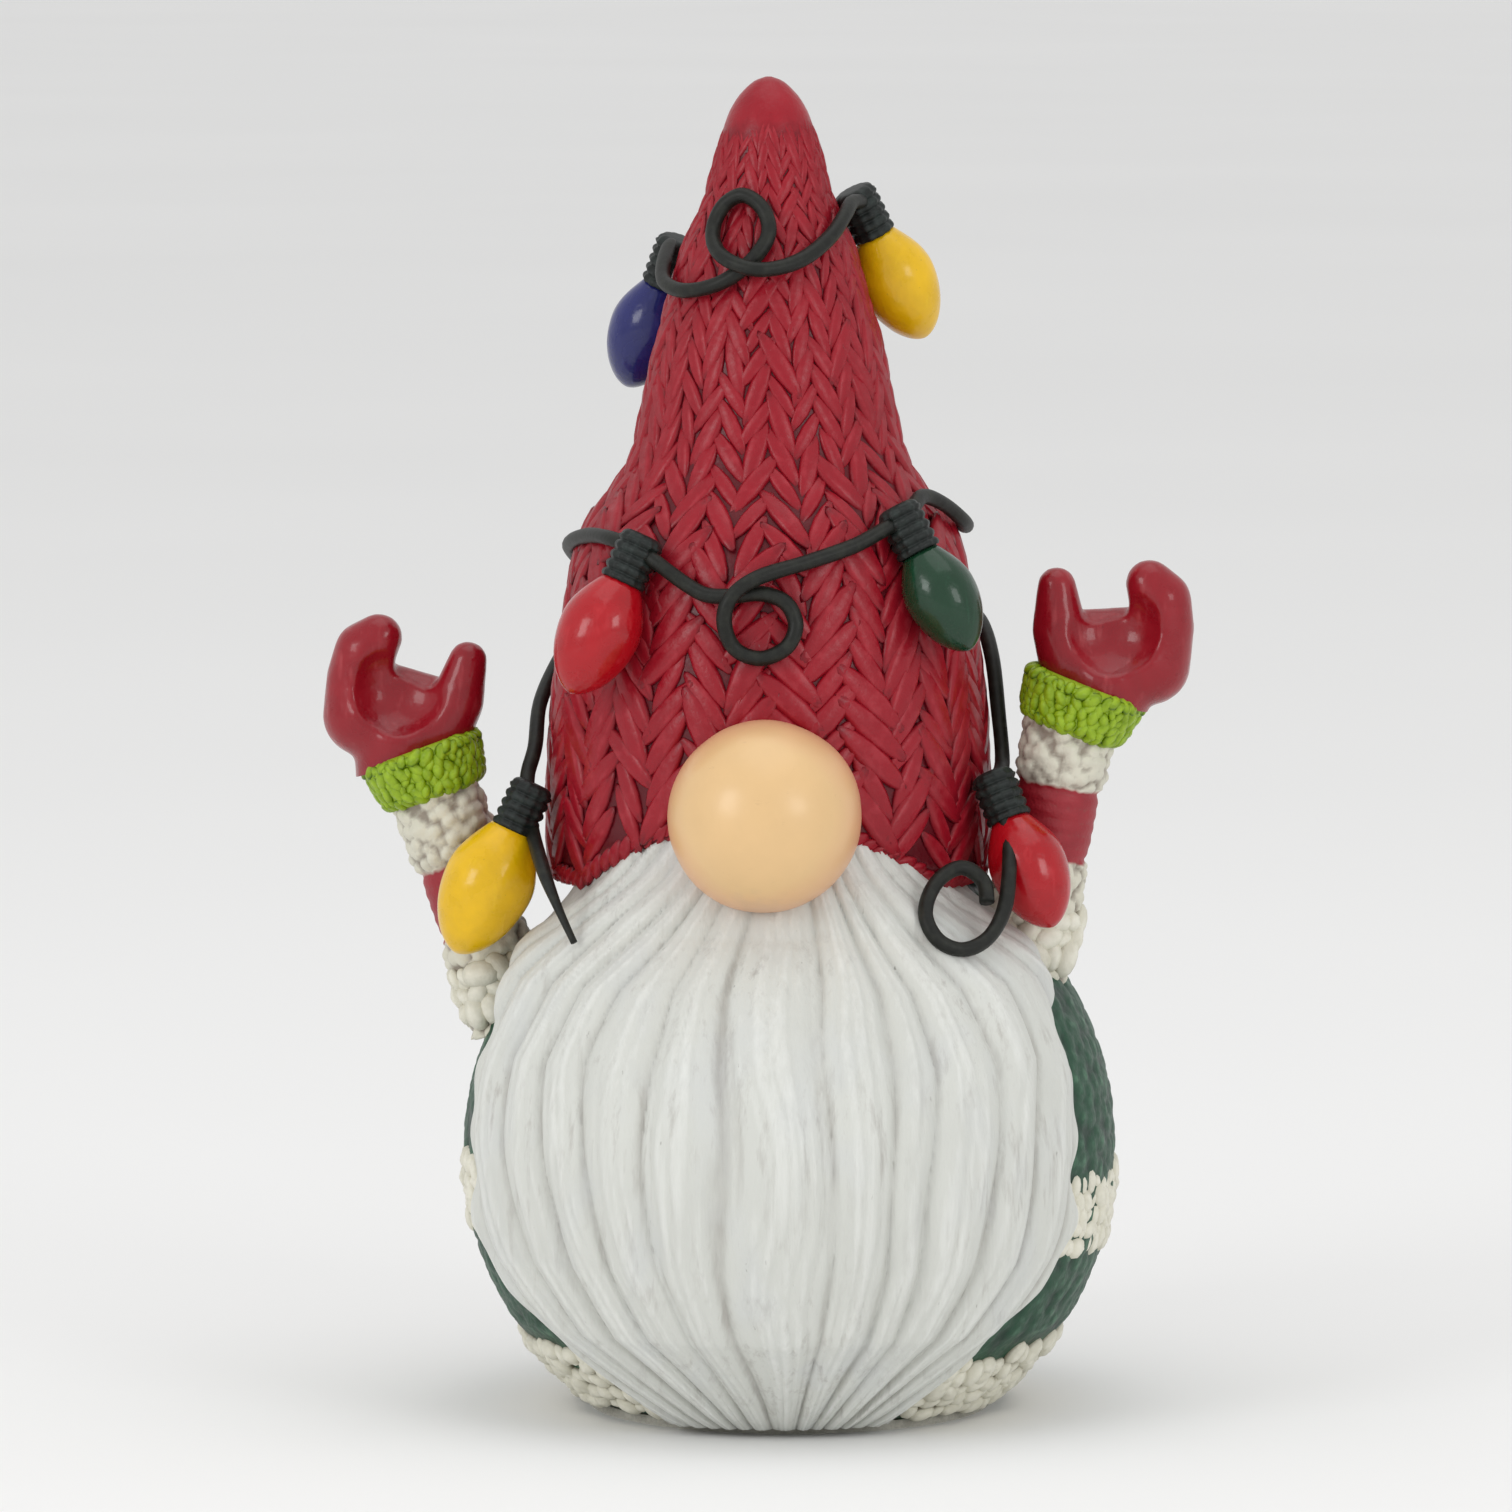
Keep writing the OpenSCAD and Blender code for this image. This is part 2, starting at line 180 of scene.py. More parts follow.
def hashed(cells, seed):
    """A repeatable number from 0 to 1 for each whole-number cell."""
    i, j, k = (cells[..., n].astype(np.int64) for n in range(3))
    n = (i * 73856093) ^ (j * 19349663) ^ (k * 83492791) ^ (seed * 2654435761)
    n = ((n ^ (n >> 13)) & 0xFFFFFFF) * 1274126177
    return ((n ^ (n >> 16)) & 0xFFFFF) / 0xFFFFF


def soft_noise(points, size, seed=0):
    """Smooth noise from -1 to 1 with features of about the given size."""
    q = points / size
    base = np.floor(q)
    f = q - base
    f = f * f * (3 - 2 * f)
    total = 0
    for corner in itertools.product((0, 1), repeat=3):
        c = np.array(corner)
        weight = np.prod(np.where(c, f, 1 - f), axis=-1)
        total = total + weight * hashed(base + c, seed)
    return total * 2 - 1


def pebbles(points, size, seed=0):
    """Rounded bumps, 1 on top and 0 between them, about one size apart."""
    q = points / size
    base = np.floor(q)
    nearest = np.full(q.shape[:-1], 9.0)
    for step in itertools.product((-1, 0, 1), repeat=3):
        cell = base + np.array(step)
        spot = cell + np.stack([hashed(cell, seed + n) for n in range(3)], axis=-1)
        nearest = np.minimum(nearest, np.linalg.norm(q - spot, axis=-1))
    return np.clip(1 - (nearest / 0.8) ** 2, 0, 1)


def ease(x):
    x = np.clip(x, 0, 1)
    return x * x * (3 - 2 * x)


def table(rows, at):
    rows = np.array(rows, dtype=float)
    return np.interp(at, rows[:, 0], rows[:, 1])


def turns(count):
    """Evenly spaced angles once round."""
    return np.linspace(0, 2 * math.pi, count, endpoint=False)


def joined(*parts):
    """Coordinates, as arrays or numbers, put together as points."""
    return np.stack(np.broadcast_arrays(*parts), axis=-1)


def to_unit(vector):
    return vector / np.linalg.norm(vector)


def hat_radius(z):
    return np.interp(z, HAT_LINE[:, 0], HAT_LINE[:, 1])


def soft_hat_radius(z):
    """The hat's radius with the corners of its line rounded off."""
    z = np.asarray(z, dtype=float)
    spread = np.minimum(1.6, np.maximum(HAT_TOP - z, 0) * 0.5)
    steps = np.linspace(-1, 1, 7)
    return np.mean([hat_radius(z + s * spread) for s in steps], axis=0)


def brim_height(angle):
    """Height of the brim's edge at an angle round the hat: an arch over the nose."""
    x = 25 * np.sin(angle)
    arch = BRIM_TOP - BRIM_ARCH_R + np.sqrt(np.maximum(BRIM_ARCH_R ** 2 - x * x, 0))
    front = ease((np.cos(angle) + 0.1) / 0.35)
    raised = np.maximum(BRIM_EDGE, BRIM_EDGE + (arch - BRIM_EDGE) * front)
    return np.where(np.cos(angle) > -0.1, raised, BRIM_EDGE)


def foot_share(points):
    """How far the ball's foot is drawn in under the round, as a share of the radius."""
    r = np.maximum(np.hypot(points[..., 0], points[..., 1]), 1e-6)
    cone = FOOT_R + FOOT_SLOPE * (points[..., 2] - FELT)
    return np.minimum(1, np.maximum(cone, 1) / r)


def on_hat(stop):
    angle, z, lift = stop[:3]
    r = float(hat_radius(z)) + lift
    a = math.radians(angle)
    return np.array((HAT_X + r * math.sin(a), -r * math.cos(a), z))


def smooth_route(points, steps):
    """A Catmull-Rom curve through the points."""
    p = [points[0], *points, points[-1]]
    out = []
    for a, b, c, d in zip(p, p[1:], p[2:], p[3:]):
        for j in range(steps):
            t = j / steps
            out.append(0.5 * (2 * b + (c - a) * t + (2 * a - 5 * b + 4 * c - d) * t ** 2
                              + (3 * b - a - 3 * c + d) * t ** 3))
    return np.array([*out, p[-1]])


def show(name, data):
    """A new object in the scene that holds a mesh, lamp or camera."""
    made = bpy.data.objects.new(name, data)
    bpy.context.scene.collection.objects.link(made)
    return made


def new_piece(name, verts, faces, relief=None):
    """A smooth-shaded object from points in millimetres, in its place."""
    mesh = bpy.data.meshes.new(name)
    mesh.from_pydata((np.asarray(verts, dtype=float) * MM).tolist(), [], faces)
    mesh.validate()
    mesh.polygons.foreach_set("use_smooth", [True] * len(mesh.polygons))
    if relief is not None:
        layer = mesh.attributes.new("relief", "FLOAT", "POINT")
        layer.data.foreach_set("value", np.asarray(relief, dtype=np.float32).ravel())
    return show(name, mesh)


def sheet_faces(rows, cols, wrap, start=0, flip=False):
    faces = []
    last = cols if wrap else cols - 1
    for i in range(rows - 1):
        for j in range(last):
            k = (j + 1) % cols
            a, b = start + i * cols, start + (i + 1) * cols
            face = (a + j, a + k, b + k, b + j)
            faces.append(face[::-1] if flip else face)
    return faces


def closed_faces(rows, cols):
    """Faces of a tube whose two poles follow its rings in the list of points."""
    faces = sheet_faces(rows, cols, True)
    foot, head, top = rows * cols, rows * cols + 1, (rows - 1) * cols
    for j in range(cols):
        k = (j + 1) % cols
        faces += [(foot, k, j), (head, top + j, top + k)]
    return faces


def skin(name, rings, relief):
    """A closed tube through rings of points, with a pole in the middle of each end."""
    rows, cols = rings.shape[:2]
    verts = rings.reshape(-1, 3)
    verts = np.vstack([verts, rings[0].mean(axis=0), rings[-1].mean(axis=0)])
    relief = np.concatenate([relief.ravel(), [relief[0].mean()], [relief[-1].mean()]])
    piece = new_piece(name, verts, closed_faces(rows, cols), relief)
    tidy_normals(piece)
    return piece


def tidy_normals(piece):
    work = bmesh.new()
    work.from_mesh(piece.data)
    bmesh.ops.recalc_face_normals(work, faces=work.faces)
    work.to_mesh(piece.data)
    work.free()


def lathe(name, outline, cols, place, bumps=None):
    """Turns an outline of (radius, height) rows about Z, then places it."""
    angles = turns(cols)
    outline = np.array(outline, dtype=float)
    radius, height = outline[:, :1], outline[:, 1:]
    rings = joined(radius * np.cos(angles), radius * np.sin(angles), height)
    relief = np.ones(rings.shape[:2])
    if bumps is not None:
        rings, relief = bumps(rings)
    m = np.array(place)
    return skin(name, rings @ m[:3, :3].T + m[:3, 3], relief)


def merge(name, pieces):
    """Joins several objects into one, keeping their attributes and first material."""
    with bpy.context.temp_override(
            active_object=pieces[0], object=pieces[0], selected_objects=pieces,
            selected_editable_objects=pieces):
        bpy.ops.object.join()
    pieces[0].name = name
    return pieces[0]


def dress(piece, material, slot, *nodes):
    """Gives a finished piece its material, its body and the nodes it stands for; its slot is not
    used.
    """
    piece.data.materials.clear()
    piece.data.materials.append(material)
    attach(piece, "root")
    if nodes:
        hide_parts(*nodes)


def add_node(tree, kind, settings=None, values=None):
    """Adds a node: its settings first, then its values and links."""
    made = tree.nodes.new(kind)
    for key, value in (settings or {}).items():
        setattr(made, key, value)
    for key, value in (values or {}).items():
        feed(tree, made.inputs[key], value)
    return made


def feed(tree, socket, value):
    """Links a socket to another one, or gives it a plain value."""
    value = getattr(value, "socket", value)
    if isinstance(value, bpy.types.NodeSocket):
        tree.links.new(value, socket)
    else:
        socket.default_value = value


def arm_place(side, foot, lean):
    """The matrix that stands a piece on an arm's cuff foot, leaning outwards."""
    return Matrix.Translation(foot) @ Matrix.Rotation(math.radians(side * lean), 4, "Y")


def light_place(light):
    angle, _, _, out, aside = light[:5]
    turns = (Matrix.Rotation(math.radians(angle), 4, "Z")
             @ Matrix.Rotation(math.radians(aside), 4, "Y")
             @ Matrix.Rotation(math.radians(-out), 4, "X"))
    return Matrix.Translation(on_hat(light)) @ turns


# ---------------------------------------------------------------- geometry nodes

def tuft_tree():
    """Places one small unit on every point of a guide, turned along its surface."""
    tree = bpy.data.node_groups.new("Tufts on guide", "GeometryNodeTree")
    for label, kind in (("Guide", "Geometry"), ("Unit", "Object"), ("Material", "Material"),
                        ("Swing", "Float"), ("Uneven", "Float"), ("Seed", "Int")):
        tree.interface.new_socket(label, in_out="INPUT", socket_type="NodeSocket" + kind)
    tree.interface.new_socket("Tufts", in_out="OUTPUT", socket_type="NodeSocketGeometry")

    def node(kind, settings=None, values=None, output=0):
        return add_node(tree, kind, settings, values).outputs[output]

    def maths(operation, first, second):
        return node("ShaderNodeMath", {"operation": operation}, {0: first, 1: second})

    def chance(low, high, seed):
        return node("FunctionNodeRandomValue", {"data_type": "FLOAT"},
                    {2: low, 3: high, "Seed": seed}, 1)

    given = add_node(tree, "NodeGroupInput").outputs
    out, along, size = (
        node("GeometryNodeInputNamedAttribute", {"data_type": "FLOAT_VECTOR"}, {"Name": label},
             "Attribute") for label in ("out", "along", "size"))
    swing = chance(maths("MULTIPLY", given["Swing"], -1), given["Swing"], given["Seed"])
    grow = chance(maths("SUBTRACT", 1, given["Uneven"]), maths("ADD", 1, given["Uneven"]),
                  maths("ADD", given["Seed"], 7))
    turn = node("FunctionNodeAxesToRotation", {"primary_axis": "Z", "secondary_axis": "Y"},
                {"Primary Axis": out, "Secondary Axis": along})
    spin = node("ShaderNodeCombineXYZ", values={"Z": swing})
    spin = node("FunctionNodeEulerToRotation", values={"Euler": spin})
    turned = node("FunctionNodeRotateRotation", {"rotation_space": "LOCAL"},
                  {"Rotation": turn, "Rotate By": spin})
    scale = node("ShaderNodeVectorMath", {"operation": "SCALE"}, {0: size, "Scale": grow})
    unit = node("GeometryNodeObjectInfo", values={"Object": given["Unit"]}, output="Geometry")
    placed = node("GeometryNodeInstanceOnPoints", values={
        "Points": given["Guide"], "Instance": unit, "Rotation": turned, "Scale": scale})
    real = node("GeometryNodeRealizeInstances", values={"Geometry": placed})
    coated = node("GeometryNodeSetMaterial", values={
        "Geometry": real, "Material": given["Material"]})
    add_node(tree, "NodeGroupOutput", values={"Tufts": coated})
    return tree


def tufts(name, guide, unit, material, swing, uneven, seed):
    """Runs the tuft tree on guide rows (place, out, along, size), all in millimetres."""
    place, out, along, size = (np.array(column, dtype=float) for column in zip(*guide))
    mesh = bpy.data.meshes.new(name + "_guide")
    mesh.from_pydata((place * MM).tolist(), [], [])
    for label, rows in (("out", out), ("along", along), ("size", size)):
        layer = mesh.attributes.new(label, "FLOAT_VECTOR", "POINT")
        layer.data.foreach_set("vector", rows.astype(np.float32).ravel())
    holder = show(name + "_guide", mesh)
    tree = bpy.data.node_groups.get("Tufts on guide") or tuft_tree()
    modifier = holder.modifiers.new("Tufts", "NODES")
    modifier.node_group = tree
    values = {"Unit": unit, "Material": material, "Swing": math.radians(swing),
              "Uneven": uneven, "Seed": seed}
    for item in tree.interface.items_tree:
        if item.in_out == "INPUT" and item.name in values:
            modifier[item.identifier] = values[item.name]
    graph = bpy.context.evaluated_depsgraph_get()
    made = bpy.data.meshes.new_from_object(
        holder.evaluated_get(graph), preserve_all_data_layers=True, depsgraph=graph)
    for label in ("out", "along", "size"):
        if label in made.attributes:
            made.attributes.remove(made.attributes[label])
    holder.modifiers.clear()
    bpy.data.objects.remove(holder)
    return show(name, made)


def unit_lobe(name, rings, cols, power, sharp, groove=0.0):
    """A plump lobe one unit long, wide and high, or two strands side by side with a groove."""
    along = np.sin(np.linspace(-0.5, 0.5, rings + 2)[1:-1] * math.pi) * 0.5
    angles = 2 * math.pi * (np.arange(cols) + (0.5 if groove else 0.0)) / cols
    width = (1 - np.abs(along * 2) ** power) ** sharp
    verts = []
    for y, w in zip(along, width):
        for a in angles:
            high = 1 if math.sin(a) > 0 else 0.5
            dip = groove * math.exp(-(math.cos(a) / 0.3) ** 2) if high == 1 else 0
            verts.append((0.5 * w * math.cos(a), y, high * w * math.sin(a) * (1 - dip)))
    verts = np.array(verts + [(0, -0.5, 0), (0, 0.5, 0)])
    relief = np.clip(verts[:, 2] * 1.15, 0, 1)
    piece = new_piece(name, verts, closed_faces(rings, cols), relief)
    tidy_normals(piece)
    return piece


# ---------------------------------------------------------------- materials

class Value:
    """A shader socket that takes part in sums."""

    def __init__(self, paint, socket):
        self.paint = paint
        self.socket = socket

    def __add__(self, other):
        return self.paint.maths("ADD", self, other)

    def __sub__(self, other):
        return self.paint.maths("SUBTRACT", self, other)

    def __rsub__(self, other):
        return self.paint.maths("SUBTRACT", other, self)

    def __mul__(self, other):
        return self.paint.maths("MULTIPLY", self, other)

    def __truediv__(self, other):
        return self.paint.maths("DIVIDE", self, other)

    __radd__ = __add__
    __rmul__ = __mul__


class Paint:
    """One material's node tree."""

    def __init__(self, name):
        self.material = bpy.data.materials.new(name)
        self.material.use_nodes = True
        self.tree = self.material.node_tree
        self.shader = self.tree.nodes["Principled BSDF"]
        self.place = self.node("ShaderNodeTexCoord", output="Object")

    def node(self, kind, settings=None, values=None, output=0):
        return Value(self, add_node(self.tree, kind, settings, values).outputs[output])

    def maths(self, operation, first, second):
        return self.node("ShaderNodeMath", {"operation": operation}, {0: first, 1: second})

    def distance(self, x, y, z):
        """Distance in millimetres to a point in millimetres."""
        point = (x * MM, y * MM, z * MM)
        return self.node("ShaderNodeVectorMath", {"operation": "DISTANCE"},
                         {0: self.place, 1: point}, "Value") / MM

    def noise(self, size, detail=3.0, rough=0.55, stretch=None):
        """Noise from 0 to 1 with features of a size in millimetres."""
        place = self.place
        if stretch is not None:
            place = self.node("ShaderNodeMapping", values={"Vector": place, "Scale": stretch})
        return self.node("ShaderNodeTexNoise", values={
            "Vector": place, "Scale": 1 / (size * MM), "Detail": detail, "Roughness": rough})

    def relief(self):
        return self.node("ShaderNodeAttribute", {"attribute_name": "relief"}, output="Fac")

    def mix(self, share, first, second):
        return self.node("ShaderNodeMix", {"data_type": "RGBA"},
                         {0: share, 6: first, 7: second}, 2)

    def between(self, value, low, high):
        """0 below low, 1 above high and straight in between."""
        return self.node("ShaderNodeMapRange", values={
            "Value": value, "From Min": low, "From Max": high})

    def bump(self, height, distance, strength=1.0):
        return self.node("ShaderNodeBump", values={
            "Height": height, "Distance": distance * MM, "Strength": strength})

    def finish(self, colour, roughness, normal=None, coat=0.0, coat_rough=0.1, specular=0.5):
        values = {"Base Color": colour, "Roughness": roughness, "Coat Weight": coat,
                  "Coat Roughness": coat_rough, "Specular IOR Level": specular}
        if normal is not None:
            values["Normal"] = normal
        for name, value in values.items():
            feed(self.tree, self.shader.inputs[name], value)
        return self.material


def shade(colour, by):
    """The same colour, darker or lighter, with its alpha."""
    return (*(min(c * by, 1.0) for c in colour[:3]), 1.0)


def cast_paint(name, colour, hollow_shade, ridge_highlight, shade_depth=0.55, highlight_share=0.5, rough=0.42,
               mottle=6.0, grain=0.5, coat=0.15):
    """Brushed paint on a casting: painted shade in the hollows, a painted highlight on the raised
    places.
    """
    paint = Paint(name)
    relief = paint.relief()
    patches = paint.noise(mottle, 4.0)
    fine = paint.noise(grain, 3.0)
    base = paint.mix(patches, shade(colour, 0.78), shade(colour, 1.2))
    # Painted shade: the hollows of the relief are darkened towards the shade colour.
    hollow = paint.between(relief + (fine - 0.5) * 0.35, shade_depth, 0.02)
    base = paint.mix(hollow * 0.85, base, (*hollow_shade, 1))
    # Painted highlight: the tops of the relief are lightened towards the highlight colour.
    top = paint.between(relief + (paint.noise(1.4, 3.0) - 0.5) * 0.9, 0.72, 1.05)
    base = paint.mix(top * highlight_share, base, (*ridge_highlight, 1))
    worn = rough - 0.08 + 0.2 * paint.between(fine, 0.35, 0.8)
    return paint.finish(base, worn, paint.bump(fine, 0.12, 0.6), coat, 0.25, 0.3)


def gloss_paint(name, colour, light, rough=0.16, coat=0.4, blotch=3.0):
    """Thick gloss enamel with lighter streaks that are brush marks and painted highlight, thin
    places and a few specks.
    """
    paint = Paint(name)
    blotches = paint.noise(blotch, 3.0)
    streaks = paint.noise(1.1, 2.0, stretch=(1, 1, 0.25))
    base = paint.mix(blotches, shade(colour, 0.72), shade(colour, 1.1))
    # Lighter streaks: brush marks and painted highlight.
    base = paint.mix(paint.between(streaks, 0.6, 0.85) * 0.35, base, (*light, 1))
    specks = paint.between(paint.noise(0.5, 2.0), 0.7, 0.78)
    base = paint.mix(specks * 0.35, base, shade(colour, 0.3))
    normal = paint.bump(paint.noise(1.6, 2.0) + 0.3 * streaks, 0.2, 0.5)
    worn = rough + 0.22 * paint.between(blotches, 0.4, 0.75)
    return paint.finish(base, worn, normal, coat, 0.08, 0.3)


def beard_paint(name, colour):
    """Off-white with grey-brown in the grooves, partly painted shade and partly a washed-in antique
    colour that is heavier in some patches; a painted highlight on the strands.
    """
    paint = Paint(name)
    relief = paint.relief()
    hair = paint.noise(0.8, 4.0, 0.65, stretch=(1, 1, 0.1))
    patches = paint.noise(11.0, 3.0)
    base = paint.mix(patches, shade(colour, 0.92), shade(colour, 1.05))
    worn = paint.between(patches, 0.35, 0.62)
    # Painted shade in the grooves, mixed with a grey-brown antique colour that is stronger in some
    # patches.
    hollow_shade = paint.between(relief + (hair - 0.5) * 0.5, 0.58, 0.12)
    base = paint.mix(hollow_shade * (0.16 + 0.5 * worn), base, (0.29, 0.27, 0.24, 1))
    streak = paint.between(paint.noise(1.5, 4.0, 0.7, stretch=(1, 1, 0.12)), 0.54, 0.72)
    base = paint.mix(streak * (0.12 + 0.55 * worn), base, (0.36, 0.34, 0.31, 1))
    tint = paint.between(paint.noise(6.0, 2.0, stretch=(1, 1, 0.5)), 0.5, 0.7)
    base = paint.mix(tint * 0.12, base, (0.55, 0.58, 0.66, 1))
    specks = paint.between(paint.noise(0.9, 3.0, stretch=(1, 1, 0.35)), 0.73, 0.79)
    base = paint.mix(specks * 0.5, base, (0.09, 0.075, 0.06, 1))
    # Painted highlight: the tops of the strands are lightened.
    painted_highlight = paint.between(relief + (hair - 0.5) * 0.6, 0.8, 1.15)
    base = paint.mix(painted_highlight * 0.6, base, (0.80, 0.81, 0.78, 1))
    normal = paint.bump(hair, 0.16, 0.7)
    return paint.finish(base, 0.5 + 0.2 * hair, normal, 0.06, 0.3, 0.4)


def sleeve_paint(name, arm, cream, red):
    """Stripes across the sleeve: cream under the cuff, red, then cream to the shoulder."""
    paint = Paint(name)
    side, foot, lean = ARMS[arm][:3]
    tilt = math.radians(side * lean)
    axis = (math.sin(tilt), 0.0, math.cos(tilt))
    start = sum(a * b for a, b in zip(axis, foot)) * MM
    along = paint.node("ShaderNodeVectorMath", {"operation": "DOT_PRODUCT"},
                       {0: paint.place, 1: axis}, output="Value")
    down = (start - along) / MM + (paint.noise(2.0, 2.0) - 0.5) * 1.2
    top, low = SLEEVE_RED[arm]
    band = paint.between(down, top - 0.2, top + 0.2)
    band = band * (1 - paint.between(down, low - 0.2, low + 0.2))
    relief = paint.relief()
    fine = paint.noise(0.6, 3.0)
    light = paint.mix(paint.noise(3.0), shade(cream, 0.86), shade(cream, 1.1))
    deep = paint.mix(paint.noise(3.0), shade(red, 0.75), shade(red, 1.25))
    base = paint.mix(band, light, deep)
    # Dark brown in the hollows between the knobs: partly dark brush marks, partly painted shade.
    hollow = paint.between(relief + (fine - 0.5) * 0.5, 0.6, 0.1)
    base = paint.mix(hollow * 0.7, base, (0.14, 0.09, 0.065, 1))
    normal = paint.bump(fine, 0.15, 0.6)
    return paint.finish(base, 0.45 + 0.15 * fine, normal, 0.1, 0.3)


def nose_paint(name, colour):
    paint = Paint(name)
    patches = paint.noise(7.0, 3.0)
    base = paint.mix(patches, shade(colour, 0.92), shade(colour, 1.08))
    x, y, z = NOSE_AT
    rim = paint.between(paint.distance(x, y - 9, z + 1) + (patches - 0.5) * 3.0, 8.5, 14.5)
    base = paint.mix(rim * 0.65, base, (0.70, 0.30, 0.19, 1))
    # Darker and browner towards the bottom of the nose.
    below = paint.distance(x, y - 5, z - 10)
    darker_below = paint.between(below + (paint.noise(1.5, 4.0) - 0.5) * 9.0, 4.2, 0.6)
    base = paint.mix(darker_below * 0.2, base, (0.45, 0.33, 0.24, 1))
    rubbed = paint.between(paint.noise(0.9, 4.0, 0.7, stretch=(0.4, 1, 1.3)), 0.66, 0.75)
    base = paint.mix(rubbed * 0.3, base, (0.52, 0.33, 0.17, 1))
    normal = paint.bump(paint.noise(2.4, 3.0), 0.15, 0.35)
    return paint.finish(base, 0.3 + 0.15 * patches, normal, 0.25, 0.22)


def fibre(name, colour, rough, pile):
    paint = Paint(name)
    hairs = paint.noise(pile, 5.0, 0.7)
    base = paint.mix(hairs, shade(colour, 0.6), shade(colour, 1.5))
    return paint.finish(base, rough, paint.bump(hairs, 0.2, 0.8), specular=0.2)


def dark_resin(name, colour, light, rough):
    """Black coating with random patches of painted greenish-grey highlight."""
    paint = Paint(name)
    sheen_patches = paint.noise(1.2, 4.0)
    # Painted highlight: greenish grey mixed in over random patches.
    base = paint.mix(paint.between(sheen_patches, 0.45, 0.8) * 0.6, shade(colour, 1.0), (*light, 1))
    normal = paint.bump(paint.noise(0.8, 3.0), 0.1, 0.5)
    return paint.finish(base, rough + 0.2 * sheen_patches, normal, 0.05, 0.3, 0.3)


def plain_metal(name, colour):
    paint = Paint(name)
    drawn = paint.noise(0.3, 2.0, stretch=(1, 1, 0.05))
    base = paint.mix(drawn, shade(colour, 0.8), shade(colour, 1.15))
    paint.shader.inputs["Metallic"].default_value = 1.0
    return paint.finish(base, 0.25 + 0.2 * drawn)


def wood_grain(name, colour):
    paint = Paint(name)
    grain = paint.noise(0.5, 4.0, stretch=(1, 0.08, 1))
    base = paint.mix(grain, shade(colour, 0.7), shade(colour, 1.2))
    return paint.finish(base, 0.6 + 0.1 * grain, paint.bump(grain, 0.05, 0.5))


# ---------------------------------------------------------------- settings

def colour_property(name, about, default):
    return FloatVectorProperty(name=name, description=about, default=default, subtype="COLOR",
                               size=3, min=0.0, max=1.0)


def length_property(name, about, default):
    return FloatProperty(name=name, description=about, default=default * MM, min=0.0,
                         subtype="DISTANCE", unit="LENGTH")


class GnomeColours(bpy.types.PropertyGroup):
    hat: colour_property("Hat", "Red of the knitted hat", (0.30, 0.006, 0.016))
    beard: colour_property("Beard", "Off-white of the beard", (0.63, 0.64, 0.60))
    body: colour_property("Body", "Green of the body", (0.013, 0.062, 0.032))
    cream: colour_property("Cream", "Fluffy bands and sleeves", (0.66, 0.64, 0.53))
    nose: colour_property("Nose", "Peach of the nose", (0.74, 0.49, 0.235))
    cuff: colour_property("Cuffs", "Lime of the cuffs", (0.20, 0.32, 0.003))
    mitten: colour_property("Mittens", "Dark red of the mittens", (0.28, 0.004, 0.012))
    bulb_red: colour_property("Red bulb", "Gloss red", (0.42, 0.002, 0.008))
    bulb_yellow: colour_property("Yellow bulb", "Gloss yellow", (0.82, 0.49, 0.002))
    bulb_blue: colour_property("Blue bulb", "Gloss blue", (0.014, 0.018, 0.14))
    bulb_green: colour_property("Green bulb", "Gloss green", (0.005, 0.04, 0.016))


class GnomeSizes(bpy.types.PropertyGroup):
    stitch_pitch: length_property("Stitch pitch", "Height from one stitch to the next", 3.3)
    stitch_reach: length_property("Stitch reach", "Height that one stitch covers", 6.2)
    stitch_relief: length_property("Stitch relief", "How far the stitches stand out", 0.95)
    knit_columns: IntProperty(name="Knit columns", description="Columns of stitches round the hat",
                              default=16, min=8, max=30)
    strand_relief: length_property("Strand relief", "Depth of the beard's grooves", 1.3)


class GnomeSettings(bpy.types.PropertyGroup):
    colours: PointerProperty(type=GnomeColours, name="Colours", description="Paint colours")
    sizes: PointerProperty(type=GnomeSizes, name="Sizes", description="Sizes of the relief")


# ---------------------------------------------------------------- pieces

